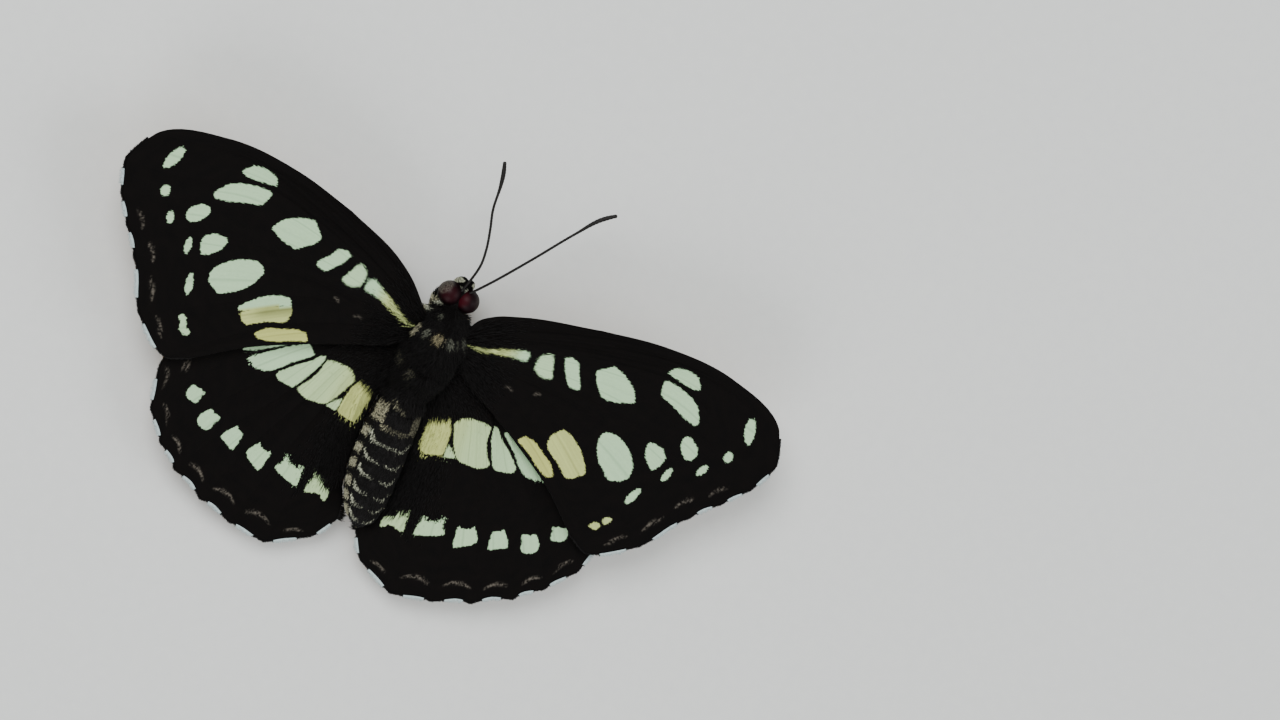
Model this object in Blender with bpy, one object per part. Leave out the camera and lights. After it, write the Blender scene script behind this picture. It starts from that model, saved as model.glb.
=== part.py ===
"""Common sergeant butterfly (Athyma perius), life size, standing with all four wings spread flat.

The animal faces -Y, its left side is +X and the floor is z = 0. Every size below is in millimetres,
and mesh() turns them into metres. Wing places are (out, fore): out is the distance from the body's
middle line, and fore the distance towards the head from the line that joins the forewing roots.
"""

import math

import bmesh
import bpy
import numpy as np
from mathutils import Matrix, Vector

MM = 0.001
GAP = 0.3
LEFT, RIGHT = 1, -1
SIDE_NAMES = {LEFT: "left", RIGHT: "right"}

# Body: stations of (y, height, half width, half height), from front to back.
THORAX = (
    (-2.25, 5.30, 1.15, 1.15),
    (-1.50, 5.25, 1.90, 1.85),
    (-0.10, 5.20, 2.50, 2.50),
    (1.60, 5.10, 2.75, 2.75),
    (3.70, 4.95, 2.65, 2.60),
    (5.30, 4.85, 2.25, 2.20),
    (6.20, 4.80, 1.85, 1.80),
)
THORAX_RINGS, THORAX_SIDES = 11, 20
ABDOMEN = (
    (5.20, 4.85, 1.75, 1.70),
    (6.80, 4.80, 2.05, 1.95),
    (9.00, 4.70, 2.28, 2.18),
    (11.80, 4.50, 2.38, 2.28),
    (14.60, 4.25, 2.36, 2.24),
    (17.20, 4.00, 1.98, 1.88),
    (19.20, 3.85, 0.90, 0.86),
)
ABDOMEN_SEGMENTS, ABDOMEN_SIDES = 9, 16
SEGMENT_STEP = 0.09
ABDOMEN_BEND = 1.85

# Head: an egg between the two eyes, turned a little to the animal's right.
HEAD_AT = Vector((0.14, -3.72, 5.45))
HEAD_RADII = Vector((1.05, 1.32, 1.28))
NECK_BACK, NECK_RADIUS = 2.1, 0.95
HEAD_TURN = math.radians(-12)
EYE_AT, EYE_RADII = Vector((0.93, -0.05, 0.12)), Vector((1.08, 1.15, 1.22))
EYE_RINGS, EYE_SIDES = 9, 16

# Feelers and mouthparts, from the head's centre: stations of (x, y, z, radius) on the left side.
PALP = (
    (0.56, -0.70, -0.75, 0.32),
    (0.61, -1.45, -0.55, 0.34),
    (0.53, -1.92, 0.15, 0.32),
    (0.38, -2.02, 0.95, 0.20),
)
COIL_AT, COIL_RADIUS, COIL_WIRE = Vector((0.0, -1.45, -1.50)), 0.48, 0.25
COIL_START, COIL_SWEEP, COIL_TIGHTENS = math.radians(46), math.radians(-290), 0.3

# Antennae, from the crown of the head to the tip of the club: (x, y, z).
ANTENNA = {
    LEFT: ((0.55, -4.60, 6.20), (0.50, -7.65, 7.90), (1.70, -10.95, 9.70), (3.05, -14.65, 11.80),
           (4.55, -17.50, 13.00)),
    RIGHT: ((-0.20, -4.45, 6.10), (-2.00, -7.20, 7.20), (-3.52, -9.85, 7.95), (-5.57, -13.25, 8.80),
            (-8.15, -17.05, 9.50)),
}
ANTENNA_RADIUS, CLUB_RADIUS, CLUB_START = 0.25, 0.33, 0.70
ANTENNA_STEPS, ANTENNA_SIDES = 14, 8

# Legs of the left side: stations of (x, y, z, radius) from the hip to the tip of the foot.
FORELEG = (
    (0.80, -0.60, 3.60, 0.40),
    (1.10, -1.90, 2.75, 0.34),
    (1.00, -3.00, 3.00, 0.30),
    (0.80, -3.55, 3.65, 0.27),
    (0.72, -3.70, 3.85, 0.22),
)
MIDLEG = (
    (1.10, 0.90, 3.60, 0.48),
    (2.60, 0.00, 3.15, 0.42),
    (4.50, -0.90, 3.35, 0.34),
    (5.05, -1.10, 3.15, 0.30),
    (6.10, -1.45, 0.75, 0.28),
    (6.45, -1.60, 0.24, 0.32),
    (8.60, -2.55, 0.20, 0.34),
)
HINDLEG = (
    (1.10, 3.40, 3.40, 0.48),
    (2.50, 4.60, 2.95, 0.42),
    (4.50, 6.40, 3.00, 0.34),
    (5.00, 7.00, 2.80, 0.30),
    (5.90, 10.30, 0.75, 0.28),
    (6.10, 10.90, 0.24, 0.32),
    (7.20, 14.20, 0.20, 0.34),
)
LEG_STEPS, LEG_SIDES = 20, 8

# Wings: thickness, vein ridges and the sheet on which they lie.
WING_THICK, RIDGE, FLANK = 0.5, 0.14, 0.13
HINGE_HEIGHT, HINDWING_DROP = 6.0, 1.15
DIHEDRAL, TIP_SAG, WING_REACH = math.radians(5.7), 2.0, 31.0
REAR_FALL, REAR_BEND = 0.08, 0.0012
WING_ROWS, COLUMN_SHARES = 10, (0.0, FLANK, 0.5, 1.0 - FLANK)
WALL_CLEAR, WALL_SOFT, WALL_FAR, FOLD_DOWN = 0.75, 0.6, 8.0, 0.8
WALL_RAMP, SLOPE_STEP = 6.0, 0.02

# Forewing lines, front to back: (points from root to margin, share of the length where its ridge begins).
FOREWING = {
    "costa": (((1.8, 0.75), (3.0, 2.9), (4.5, 4.1), (7.5, 5.25), (13.0, 6.82)), 0.0),
    "subcosta": (((1.8, 0.60), (5.0, 2.9), (11.0, 5.6), (19.0, 8.0)), 0.0),
    "radius_3": (((1.8, 0.45), (8.0, 3.6), (16.0, 6.4), (26.0, 8.0)), 0.55),
    "radius_5": (((1.8, 0.30), (8.0, 3.1), (15.0, 5.3), (24.0, 6.9), (32.2, 5.6)), 0.0),
    "media_1": (((1.8, 0.15), (8.0, 2.4), (15.0, 4.5), (21.5, 5.45), (29.2, 2.9), (33.55, 2.4)), 0.43),
    "media_2": (((1.8, 0.00), (8.0, 1.5), (15.0, 2.7), (25.2, 2.05), (32.5, -0.5)), 0.43),
    "media_3": (((1.8, -0.15), (8.0, 0.6), (14.5, 0.8), (24.1, -0.45), (30.7, -2.9)), 0.43),
    "cubitus_1": (((1.8, -0.30), (7.5, -0.35), (13.2, -0.3), (21.4, -2.0), (28.7, -5.3)), 0.0),
    "cubitus_2": (((1.8, -0.45), (7.5, -1.1), (12.5, -1.7), (18.3, -4.9), (25.8, -9.8)), 0.32),
    "anal": (((1.8, -0.60), (7.5, -2.2), (13.3, -4.9), (17.6, -8.2), (21.7, -12.4)), 0.0),
    "dorsum": (((1.8, -0.75), (3.4, -2.3), (10.5, -6.0), (15.8, -8.9), (19.6, -11.5)), 0.0),
}
FOREWING_SCALLOP = {"radius_5": 0.10, "media_1": 0.22, "media_2": 0.25, "media_3": 0.25,
                    "cubitus_1": 0.35, "cubitus_2": 0.30}

# Hindwing lines in (degrees, radius) about its own hinge, in the mean of the two sides' spreads.
HINDWING_HINGE = (2.2, -2.5)
HINDWING_ROOT_OUT, HINDWING_ROOT_FORE, HINDWING_ROOT_STEP = 1.6, -1.9, 0.17
HINDWING = {
    "costa": (((18, 3.0), (6, 6.5), (-1.6, 11.4), (-7, 15.6), (-15, 19.6)), 0.0),
    "subcosta": (((4, 4.5), (-8, 11.0), (-17, 17.5), (-26, 22.3)), 0.0),
    "radius": (((-8, 4.5), (-19, 11.5), (-29.5, 19.0), (-35.5, 23.5)), 0.0),
    "media_1": (((-15, 4.5), (-25, 8.1), (-33.5, 12.2), (-39, 18.5), (-43.7, 23.6)), 0.28),
    "media_2": (((-22, 4.5), (-31, 7.2), (-42.2, 11.0), (-47.5, 18.0), (-50.9, 23.5)), 0.28),
    "media_3": (((-34, 4.5), (-50, 10.0), (-56.3, 17.0), (-60.5, 23.1)), 0.28),
    "cubitus_1": (((-46, 4.5), (-59.3, 9.0), (-66.4, 16.1), (-69.5, 22.7)), 0.0),
    "cubitus_2": (((-58, 4.5), (-68.0, 8.5), (-76.5, 15.8), (-79.3, 22.3)), 0.2),
    "anal": (((-70, 4.5), (-80, 9.0), (-86, 15.0), (-88.7, 20.0)), 0.0),
    "dorsum": (((-84, 4.5), (-92, 9.0), (-95, 13.5), (-93.5, 17.6)), 0.0),
}
HINDWING_SCALLOP = {"subcosta": 0.35, "radius": 0.5, "media_1": 0.5, "media_2": 0.5, "media_3": 0.55,
                    "cubitus_1": 0.55, "cubitus_2": 0.45}
HINDWING_SPREAD = {LEFT: math.radians(-4.45), RIGHT: math.radians(4.45)}
MARGIN_PULL = 3

BLACK, BROWN_BLACK, EYE_RED, CREAM = ((0.012, 0.010, 0.009), (0.020, 0.015, 0.012),
                                      (0.060, 0.008, 0.006), (0.55, 0.52, 0.40))


def clear_scene():
    for obj in list(bpy.data.objects):
        bpy.data.objects.remove(obj)


def curve_at(points, share):
    """The point at this share of the length of a smooth curve through the points."""
    points = np.asarray(points, float)
    knots = np.concatenate([[0.0], np.cumsum(np.linalg.norm(np.diff(points, axis=0), axis=1))])
    slopes = np.gradient(points, knots, axis=0)
    place = np.clip(share, 0.0, 1.0) * knots[-1]
    i = int(np.clip(np.searchsorted(knots, place, "right") - 1, 0, len(points) - 2))
    width = knots[i + 1] - knots[i]
    s = (place - knots[i]) / width
    return ((2 * s**3 - 3 * s**2 + 1) * points[i] + (s**3 - 2 * s**2 + s) * width * slopes[i]
            + (3 * s**2 - 2 * s**3) * points[i + 1] + (s**3 - s**2) * width * slopes[i + 1])


def paint(name, colour, roughness):
    made = bpy.data.materials.new(name)
    made.use_nodes = True
    shader = made.node_tree.nodes["Principled BSDF"]
    shader.inputs["Base Color"].default_value = (*colour, 1.0)
    shader.inputs["Roughness"].default_value = roughness
    return made


def mesh(name, points, faces, colour, roughness=0.8, helper=False):
    """A closed mesh object from points in millimetres, with its faces turned out."""
    made = bpy.data.meshes.new(name)
    shape = bmesh.new()
    verts = [shape.verts.new(Vector(p) * MM) for p in points]
    for face in faces:
        shape.faces.new([verts[i] for i in face])
    bmesh.ops.recalc_face_normals(shape, faces=shape.faces)
    shape.to_mesh(made)
    shape.free()
    made.shade_smooth()
    made.materials.append(paint(name, colour, roughness))
    obj = bpy.data.objects.new(name, made)
    bpy.context.scene.collection.objects.link(obj)
    if helper:
        obj.hide_render = True
        obj.display_type = "WIRE"
    return obj


def skin(rings, tip_start=None, tip_end=None):
    """Points and faces of a tube through equal rings, its ends closed by a flat face or a tip point."""
    sides = len(rings[0])
    points = [p for ring in rings for p in ring]
    faces = []
    for r in range(len(rings) - 1):
        for s in range(sides):
            a, b = r * sides + s, r * sides + (s + 1) % sides
            faces.append((a, b, b + sides, a + sides))
    for first, tip in ((0, tip_start), ((len(rings) - 1) * sides, tip_end)):
        if tip is None:
            faces.append(tuple(range(first, first + sides)))
            continue
        points.append(tip)
        faces += [(first + s, first + (s + 1) % sides, len(points) - 1) for s in range(sides)]
    return points, faces


def cut_with(obj, *cutters):
    for cutter in cutters:
        cut = obj.modifiers.new("clear_of_" + cutter.name, "BOOLEAN")
        cut.operation = "DIFFERENCE"
        cut.object = cutter


def around(centre, half_width, half_height, sides):
    """An upright ring at a body station."""
    turns = [2 * math.pi * s / sides for s in range(sides)]
    return [(centre[0] + half_width * math.sin(t), centre[1], centre[2] + half_height * math.cos(t))
            for t in turns]


def thorax(name, grow=0.0, helper=False):
    rings = []
    for k in range(THORAX_RINGS):
        share = k / (THORAX_RINGS - 1)
        y, z, wide, high = curve_at(THORAX, share)
        rings.append(around((0.0, y + grow * (2 * share - 1), z), wide + grow, high + grow, THORAX_SIDES))
    points, faces = skin(rings)
    return mesh(name, points, faces, BLACK, helper=helper)


def abdomen_bend(y):
    """How far the abdomen's middle leans to the animal's right at a distance behind the wing roots."""
    start, end = ABDOMEN[0][0], ABDOMEN[-1][0]
    return -ABDOMEN_BEND * max(0.0, (y - start) / (end - start)) ** 2


def abdomen():
    rings = []
    for k in range(ABDOMEN_SEGMENTS):
        for within, step in ((0.04, -SEGMENT_STEP), (0.80, 0.0)):
            y, z, wide, high = curve_at(ABDOMEN, (k + within) / ABDOMEN_SEGMENTS)
            rings.append(around((abdomen_bend(y), y, z), wide + step, high + step, ABDOMEN_SIDES))
    y, z, _, _ = ABDOMEN[-1]
    points, faces = skin(rings, tip_end=(abdomen_bend(y), y + 0.15, z))
    return mesh("abdomen", points, faces, BROWN_BLACK)


def head_place(local):
    """A point given from the head's centre, after the head's turn."""
    return HEAD_AT + Matrix.Rotation(HEAD_TURN, 3, "Z") @ Vector(local)


def egg(centre, radii, rings, sides, place=lambda p: p):
    """Rings of an egg along Y, with the two tip points."""
    made = []
    for k in range(1, rings):
        lift = math.pi * k / rings
        y = centre[1] - radii[1] * math.cos(lift)
        ring = around((centre[0], y, centre[2]), radii[0] * math.sin(lift), radii[2] * math.sin(lift), sides)
        made.append([place(p) for p in ring])
    tips = [place((centre[0], centre[1] + radii[1] * way, centre[2])) for way in (-1, 1)]
    return made, tips


def head(name, grow=0.0, helper=False):
    """The egg of the head, drawn out behind into a short neck."""
    made, tips = egg((0, 0, 0), HEAD_RADII + Vector((grow,) * 3), 8, 16, head_place)
    neck_ring = around((0.0, NECK_BACK, -0.25), NECK_RADIUS + grow, NECK_RADIUS + grow, 16)
    keep = made[:6] + [[head_place(p) for p in neck_ring]]
    points, faces = skin(keep, tip_start=tips[0])
    return mesh(name, points, faces, BLACK, helper=helper)


def eye(side):
    made, tips = egg((side * EYE_AT.x, EYE_AT.y, EYE_AT.z), EYE_RADII, EYE_RINGS, EYE_SIDES, head_place)
    points, faces = skin(made, *tips)
    return mesh("eye_" + SIDE_NAMES[side], points, faces, EYE_RED, 0.15)


def tube(name, stations, steps, sides, colour):
    """A round tube along a smooth curve through (x, y, z, radius) stations, rounded off at both ends."""
    along = [curve_at(stations, k / steps) for k in range(steps + 1)]
    middle, radii = [Vector(a[:3]) for a in along], [float(a[3]) for a in along]
    ends = [(middle[1] - middle[0]).normalized(), (middle[-1] - middle[-2]).normalized()]
    rings = []
    across = ends[0].orthogonal().normalized()
    for k, centre in enumerate(middle):
        ahead = (middle[min(k + 1, steps)] - middle[max(k - 1, 0)]).normalized()
        across = (across - across.dot(ahead) * ahead).normalized()
        other = ahead.cross(across)
        turns = [2 * math.pi * s / sides for s in range(sides)]
        rings.append([centre + (across * math.cos(t) + other * math.sin(t)) * radii[k] for t in turns])
    for which, way in ((0, -1), (-1, 1)):
        end, radius = middle[which], radii[which]
        small = [end + ends[which] * way * radius * 0.55 + (p - end) * 0.75 for p in rings[which]]
        rings = [small] + rings if which == 0 else rings + [small]
    tips = [middle[0] - ends[0] * radii[0] * 0.85, middle[-1] + ends[-1] * radii[-1] * 0.85]
    points, faces = skin(rings, *tips)
    return mesh(name, points, faces, colour)


def mirrored(stations, side):
    return [(side * x, y, z, r) for x, y, z, r in stations]


def palp(side):
    stations = [(*head_place((x, y, z)), r) for x, y, z, r in mirrored(PALP, side)]
    return tube("palp_" + SIDE_NAMES[side], stations, 7, 8, CREAM)


def tongue():
    """The coiled tongue, closed between the palps."""
    steps = 18
    stations = []
    for k in range(steps + 1):
        share = k / steps
        turn = COIL_START + share * COIL_SWEEP
        reach = COIL_RADIUS * (1.0 - COIL_TIGHTENS * share)
        local = COIL_AT + Vector((0.0, reach * math.cos(turn), reach * math.sin(turn)))
        stations.append((*head_place(local), COIL_WIRE))
    return tube("tongue", stations, steps, 8, BROWN_BLACK)


def antenna(side):
    stations = []
    for k in range(ANTENNA_STEPS + 1):
        share = k / ANTENNA_STEPS
        centre = curve_at(ANTENNA[side], share)
        swell = max(0.0, (share - CLUB_START) / (1 - CLUB_START))
        radius = ANTENNA_RADIUS + (CLUB_RADIUS - ANTENNA_RADIUS) * math.sin(math.pi * 0.62 * swell)
        stations.append((*centre, radius))
    return tube("antenna_" + SIDE_NAMES[side], stations, ANTENNA_STEPS, ANTENNA_SIDES, BLACK)


def floor_cutter():
    """A slab under the floor, which leaves a flat on each foot."""
    half, low, high = 30.0, -2.0, 0.0
    square = ((-half, -half), (half, -half), (half, half), (-half, half))
    corners = [(x, y, z) for z in (low, high) for x, y in square]
    faces = [(0, 1, 2, 3), (4, 5, 6, 7), (0, 1, 5, 4), (1, 2, 6, 5), (2, 3, 7, 6), (3, 0, 4, 7)]
    return mesh("under_floor", corners, faces, BLACK, helper=True)


def leg(name, stations, side, steps):
    return tube(f"{name}_{SIDE_NAMES[side]}", mirrored(stations, side), steps, LEG_SIDES, BROWN_BLACK)


def sheet_height(out, fore):
    """Height of the sheet on which the forewings lie."""
    reach = max(0.0, out - 1.8)
    behind = max(0.0, -fore)
    return (HINGE_HEIGHT + math.tan(DIHEDRAL) * reach - TIP_SAG * (reach / WING_REACH) ** 2
            - REAR_FALL * behind - REAR_BEND * behind**2)


def body_wall(side, fore):
    """How far out the abdomen's flank, with its clearance, reaches on one side. Nothing ahead of it."""
    ahead, behind = ABDOMEN[1][0], ABDOMEN[-1][0]
    y = min(max(-fore, ahead), behind)
    half = curve_at(ABDOMEN, (y - ABDOMEN[0][0]) / (behind - ABDOMEN[0][0]))[2]
    return half + side * abdomen_bend(y) + WALL_CLEAR - WALL_RAMP * abs(-fore - y)


def forewing_point(side, out, fore):
    return (side * out, -fore, sheet_height(out, fore))


def hindwing_point(side, out, fore):
    """Turns the wing to its side's spread and folds what would meet the abdomen down beside it."""
    turn = HINDWING_SPREAD[side]
    o, f = out - HINDWING_HINGE[0], fore - HINDWING_HINGE[1]
    out = HINDWING_HINGE[0] + o * math.cos(turn) - f * math.sin(turn)
    fore = HINDWING_HINGE[1] + o * math.sin(turn) + f * math.cos(turn)
    height = sheet_height(out, fore) - HINDWING_DROP
    wall = body_wall(side, fore)
    clear = (out - wall) / WALL_SOFT
    kept = out if clear > WALL_FAR else wall + WALL_SOFT * math.log1p(math.exp(clear))
    return (side * kept, -fore, height - FOLD_DOWN * (kept - out))


def hindwing_lines():
    """The hindwing's lines as (out, fore) points, each with its own root point on the hinge."""
    hinge_out, hinge_fore = HINDWING_HINGE
    lines = {}
    for k, (name, (polar, start)) in enumerate(HINDWING.items()):
        points = [(HINDWING_ROOT_OUT, HINDWING_ROOT_FORE - k * HINDWING_ROOT_STEP)]
        for degrees, radius in polar:
            turn = math.radians(degrees)
            points.append((hinge_out + radius * math.cos(turn), hinge_fore + radius * math.sin(turn)))
        lines[name] = (points, start)
    return lines


def wing_columns(lines, scallop):
    """Columns of (out, fore, ridge) points from root to margin: each line, its two flanks and mid-space."""
    names = list(lines)
    tips = [np.array(lines[n][0][-1], float) for n in names]
    heart = np.mean(tips, axis=0)
    lengths = np.concatenate([[0.0], np.cumsum([np.linalg.norm(b - a) for a, b in zip(tips, tips[1:])])])
    columns = []
    for i, name in enumerate(names):
        last = i == len(names) - 1
        for share in COLUMN_SHARES[:1] if last else COLUMN_SHARES:
            column = []
            for row in range(WING_ROWS + 1):
                t = row / WING_ROWS
                here = curve_at(lines[name][0], t)
                ridge = 1.0 if share == 0.0 and t >= lines[name][1] and 0 < i < len(names) - 1 else 0.0
                if share > 0.0:
                    there = curve_at(lines[names[i + 1]][0], t)
                    flat = tips[i] + share * (tips[i + 1] - tips[i])
                    edge = curve_at(tips, (lengths[i] + share * (lengths[i + 1] - lengths[i])) / lengths[-1])
                    inward = (heart - flat) / np.linalg.norm(heart - flat)
                    edge = edge + inward * scallop.get(name, 0.0) * math.sin(math.pi * share)
                    here = here + share * (there - here) + t**MARGIN_PULL * (edge - flat)
                column.append((*here, ridge))
            columns.append(column)
    return columns


def wing(name, side, lines, scallop, place):
    """A membrane of even thickness with its veins raised on both faces, split alike above and below."""
    columns = wing_columns(lines, scallop)
    rows = len(columns[0])
    points = []
    for face in (1, -1):
        for column in columns:
            for out, fore, ridge in column:
                centre = Vector(place(side, out, fore))
                outward = Vector(place(side, out + SLOPE_STEP, fore)) - centre
                forward = Vector(place(side, out, fore + SLOPE_STEP)) - centre
                up = outward.cross(forward).normalized()
                points.append(centre + up * math.copysign(WING_THICK / 2 + ridge * RIDGE, face * up.z))
    below = len(columns) * rows
    faces = []
    for c in range(len(columns) - 1):
        for r in range(rows - 1):
            a, b = c * rows + r, (c + 1) * rows + r
            for corners in ((a, b, b + 1), (a, b + 1, a + 1)):
                faces += [corners, tuple(i + below for i in corners)]
    rim = [c * rows for c in range(len(columns))]
    rim += [(len(columns) - 1) * rows + r for r in range(1, rows)]
    rim += [c * rows + rows - 1 for c in reversed(range(len(columns) - 1))]
    rim += list(reversed(range(1, rows - 1)))
    for a, b in zip(rim, rim[1:] + rim[:1]):
        faces += [(a, b, b + below), (a, b + below, a + below)]
    return mesh(f"{name}_{SIDE_NAMES[side]}", points, faces, BLACK)


def centre_over_origin(nodes):
    """Shifts everything so that the origin is under the middle of the whole animal's box."""
    bpy.context.view_layer.update()
    graph = bpy.context.evaluated_depsgraph_get()
    corners = [Vector(c) for o in nodes for c in o.evaluated_get(graph).bound_box]
    middle = [(min(c[k] for c in corners) + max(c[k] for c in corners)) / 2 for k in (0, 1)]
    for made in {o.data for o in bpy.data.objects if o.type == "MESH"}:
        made.transform(Matrix.Translation((-middle[0], -middle[1], 0.0)))


def main():
    clear_scene()
    near_thorax = thorax("thorax_clearance", GAP, helper=True)
    near_head = head("head_clearance", GAP, helper=True)
    under_floor = floor_cutter()
    nodes = [thorax("thorax"), abdomen(), head("head"), tongue()]
    cut_with(nodes[1], near_thorax)
    cut_with(nodes[2], near_thorax)
    cut_with(nodes[3], near_head)
    fore_lines, hind_lines = FOREWING, hindwing_lines()
    for side in (LEFT, RIGHT):
        on_head = [eye(side), palp(side), antenna(side)]
        for obj in on_head:
            cut_with(obj, near_head)
        on_thorax = [
            leg("foreleg", FORELEG, side, 8),
            leg("midleg", MIDLEG, side, LEG_STEPS),
            leg("hindleg", HINDLEG, side, LEG_STEPS),
            wing("forewing", side, fore_lines, FOREWING_SCALLOP, forewing_point),
            wing("hindwing", side, hind_lines, HINDWING_SCALLOP, hindwing_point),
        ]
        for obj in on_thorax:
            cut_with(obj, near_thorax)
        for obj in on_thorax[1:3]:
            cut_with(obj, under_floor)
        nodes += on_head + on_thorax
    centre_over_origin(nodes)


main()
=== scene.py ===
"""Looks of a common sergeant butterfly (Athyma perius), resting with all four wings spread flat.

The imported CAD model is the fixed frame. Shapes are worked out in millimetres from the middle of the
line that joins the forewing roots: the animal faces -Y, its left side is +X and the floor is z = 0.
Wing places are (out, fore): out from the body's middle line, fore towards the head.
"""

import math

import bmesh
import bpy
import numpy as np
from mathutils import Matrix, Vector


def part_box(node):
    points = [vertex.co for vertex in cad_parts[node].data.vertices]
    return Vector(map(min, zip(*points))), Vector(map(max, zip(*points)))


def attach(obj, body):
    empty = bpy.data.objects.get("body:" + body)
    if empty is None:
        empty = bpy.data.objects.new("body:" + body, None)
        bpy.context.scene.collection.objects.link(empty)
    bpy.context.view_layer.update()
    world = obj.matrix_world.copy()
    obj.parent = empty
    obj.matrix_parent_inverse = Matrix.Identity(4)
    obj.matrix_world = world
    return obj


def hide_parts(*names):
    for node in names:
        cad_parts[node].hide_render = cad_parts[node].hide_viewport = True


bl_info = {
    "name": "Common sergeant butterfly",
    "version": (1, 0, 0),
    "blender": (4, 5, 0),
    "location": "3D View > Sidebar > Butterfly",
    "description": "Builds a life-size common sergeant over its packed CAD frame",
    "category": "Add Mesh",
}

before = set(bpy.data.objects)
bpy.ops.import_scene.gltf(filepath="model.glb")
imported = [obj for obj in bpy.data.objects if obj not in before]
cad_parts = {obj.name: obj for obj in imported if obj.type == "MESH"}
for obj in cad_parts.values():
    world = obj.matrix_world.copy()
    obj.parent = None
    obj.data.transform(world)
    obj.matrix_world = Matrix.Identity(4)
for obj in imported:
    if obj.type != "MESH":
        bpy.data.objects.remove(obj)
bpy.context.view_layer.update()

MM = 0.001
LEFT, RIGHT = 1, -1
SIDE_NAMES = {LEFT: "left", RIGHT: "right"}
THORAX_MIDDLE = 1.975
THORAX_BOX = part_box("thorax")
SHIFT = np.array([(THORAX_BOX[0].x + THORAX_BOX[1].x) / 2 / MM,
                  (THORAX_BOX[0].y + THORAX_BOX[1].y) / 2 / MM - THORAX_MIDDLE, 0.0])

# Body: stations of (y, x, height, half width, half height), behind the neck.
TRUNK = (
    (-2.25, 0.05, 5.28, 1.42, 1.24),
    (-1.50, 0.00, 5.25, 1.98, 1.76),
    (-0.10, 0.00, 5.20, 2.38, 2.40),
    (1.60, 0.00, 5.10, 2.62, 2.62),
    (3.70, 0.00, 4.95, 2.50, 2.48),
    (5.20, 0.00, 4.86, 2.10, 2.05),
    (6.10, -0.01, 4.82, 1.86, 1.80),
    (7.20, -0.04, 4.78, 2.05, 1.95),
    (9.00, -0.14, 4.70, 2.26, 2.16),
    (11.80, -0.41, 4.50, 2.36, 2.26),
    (14.60, -0.83, 4.25, 2.32, 2.20),
    (17.20, -1.36, 4.00, 1.92, 1.82),
    (18.60, -1.69, 3.89, 1.30, 1.24),
    (19.25, -1.86, 3.85, 0.55, 0.52),
)
ABDOMEN_START, ABDOMEN_END, ABDOMEN_BEND = 5.20, 19.20, 1.85
ABDOMEN_HALF = ((6.8, 2.05), (9.0, 2.28), (11.8, 2.38), (14.6, 2.36), (17.2, 1.98), (19.2, 0.90))
BODY_RINGS, BODY_SIDES = 300, 80
SEGMENT_ENDS = (7.95, 9.65, 11.26, 12.97, 14.47, 16.12, 17.45, 18.75)

HEAD_AT = Vector((0.14, -3.72, 5.45))
HEAD_RADII = Vector((0.86, 1.24, 0.98))
HEAD_TURN = math.radians(-1)
# Where the painted red highlight and the painted grey reflection lie on each eye: (strength, direction).
EYE_RED_HIGHLIGHT = {LEFT: (0.45, (0.25, -0.05, 0.95)), RIGHT: (1.0, (0.72, -0.08, 0.69))}
EYE_GREY_REFLECTION = {LEFT: (1.0, (0.80, -0.45, 0.30)), RIGHT: (0.2, (-0.90, -0.30, 0.30))}
EYE_AT, EYE_RADII = Vector((0.89, -0.04, 0.12)), Vector((1.13, 1.12, 1.16))

# Feelers and mouthparts, from the head's centre: stations of (x, y, z, radius) on the left side.
PALP = ((0.46, -0.52, -0.80, 0.28), (0.54, -0.98, -0.58, 0.38), (0.45, -1.34, -0.05, 0.43),
        (0.34, -1.54, 0.38, 0.37), (0.28, -1.62, 0.72, 0.18))
COIL_AT, COIL_RADIUS, COIL_WIRE = Vector((0.0, -1.02, -1.50)), 0.44, 0.085
COIL_TURNS, COIL_START, COIL_STEPS = 2.6, math.radians(46), 150
EYE_RINGS, EYE_SIDES, PALP_STEPS, PALP_SIDES = 44, 64, 40, 18

# Antennae, from the crown of the head to the tip of the club: (x, y, z).
ANTENNA = {
    LEFT: ((0.30, -4.35, 6.05), (0.14, -5.84, 6.55), (0.19, -7.52, 7.30), (0.62, -8.97, 8.10),
           (1.57, -11.11, 9.30),
           (2.44, -12.81, 10.30), (3.33, -15.45, 11.80), (3.77, -16.51, 12.40), (4.33, -17.57, 13.00)),
    RIGHT: ((-0.28, -4.25, 6.05), (-1.51, -6.28, 6.80), (-3.60, -10.00, 7.90), (-5.78, -13.93, 8.80),
            (-7.19, -16.22, 9.35), (-7.67, -16.70, 9.45), (-8.22, -17.14, 9.50)),
}
SHAFT_RADIUS, CLUB_RADIUS, CLUB_START = 0.125, 0.215, 0.72
ANTENNA_JOINTS = 46

# Legs of the left side: stations of (x, y, z, radius) from the hip to the tip of the foot.
FORELEG = ((0.80, -0.60, 3.60, 0.34), (1.25, -1.90, 2.80, 0.26), (1.20, -3.00, 3.02, 0.20),
           (0.80, -3.55, 3.65, 0.15), (0.72, -3.72, 3.90, 0.09))
MIDLEG = ((1.10, 0.90, 3.60, 0.40), (2.60, 0.00, 3.15, 0.34), (4.50, -0.90, 3.35, 0.24),
          (5.05, -1.10, 3.15, 0.19),
          (6.10, -1.45, 0.80, 0.17), (6.45, -1.60, 0.22, 0.15), (8.45, -2.48, 0.13, 0.12))
HINDLEG = ((1.10, 3.40, 3.40, 0.40), (2.50, 4.60, 2.95, 0.34), (4.50, 6.40, 3.00, 0.24),
           (5.00, 7.00, 2.80, 0.19),
           (5.90, 10.30, 0.80, 0.17), (6.10, 10.90, 0.22, 0.15), (7.15, 14.02, 0.13, 0.12))
LEG_STEPS, LEG_SIDES, KNEE_SHARE = 110, 14, 0.655

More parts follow.
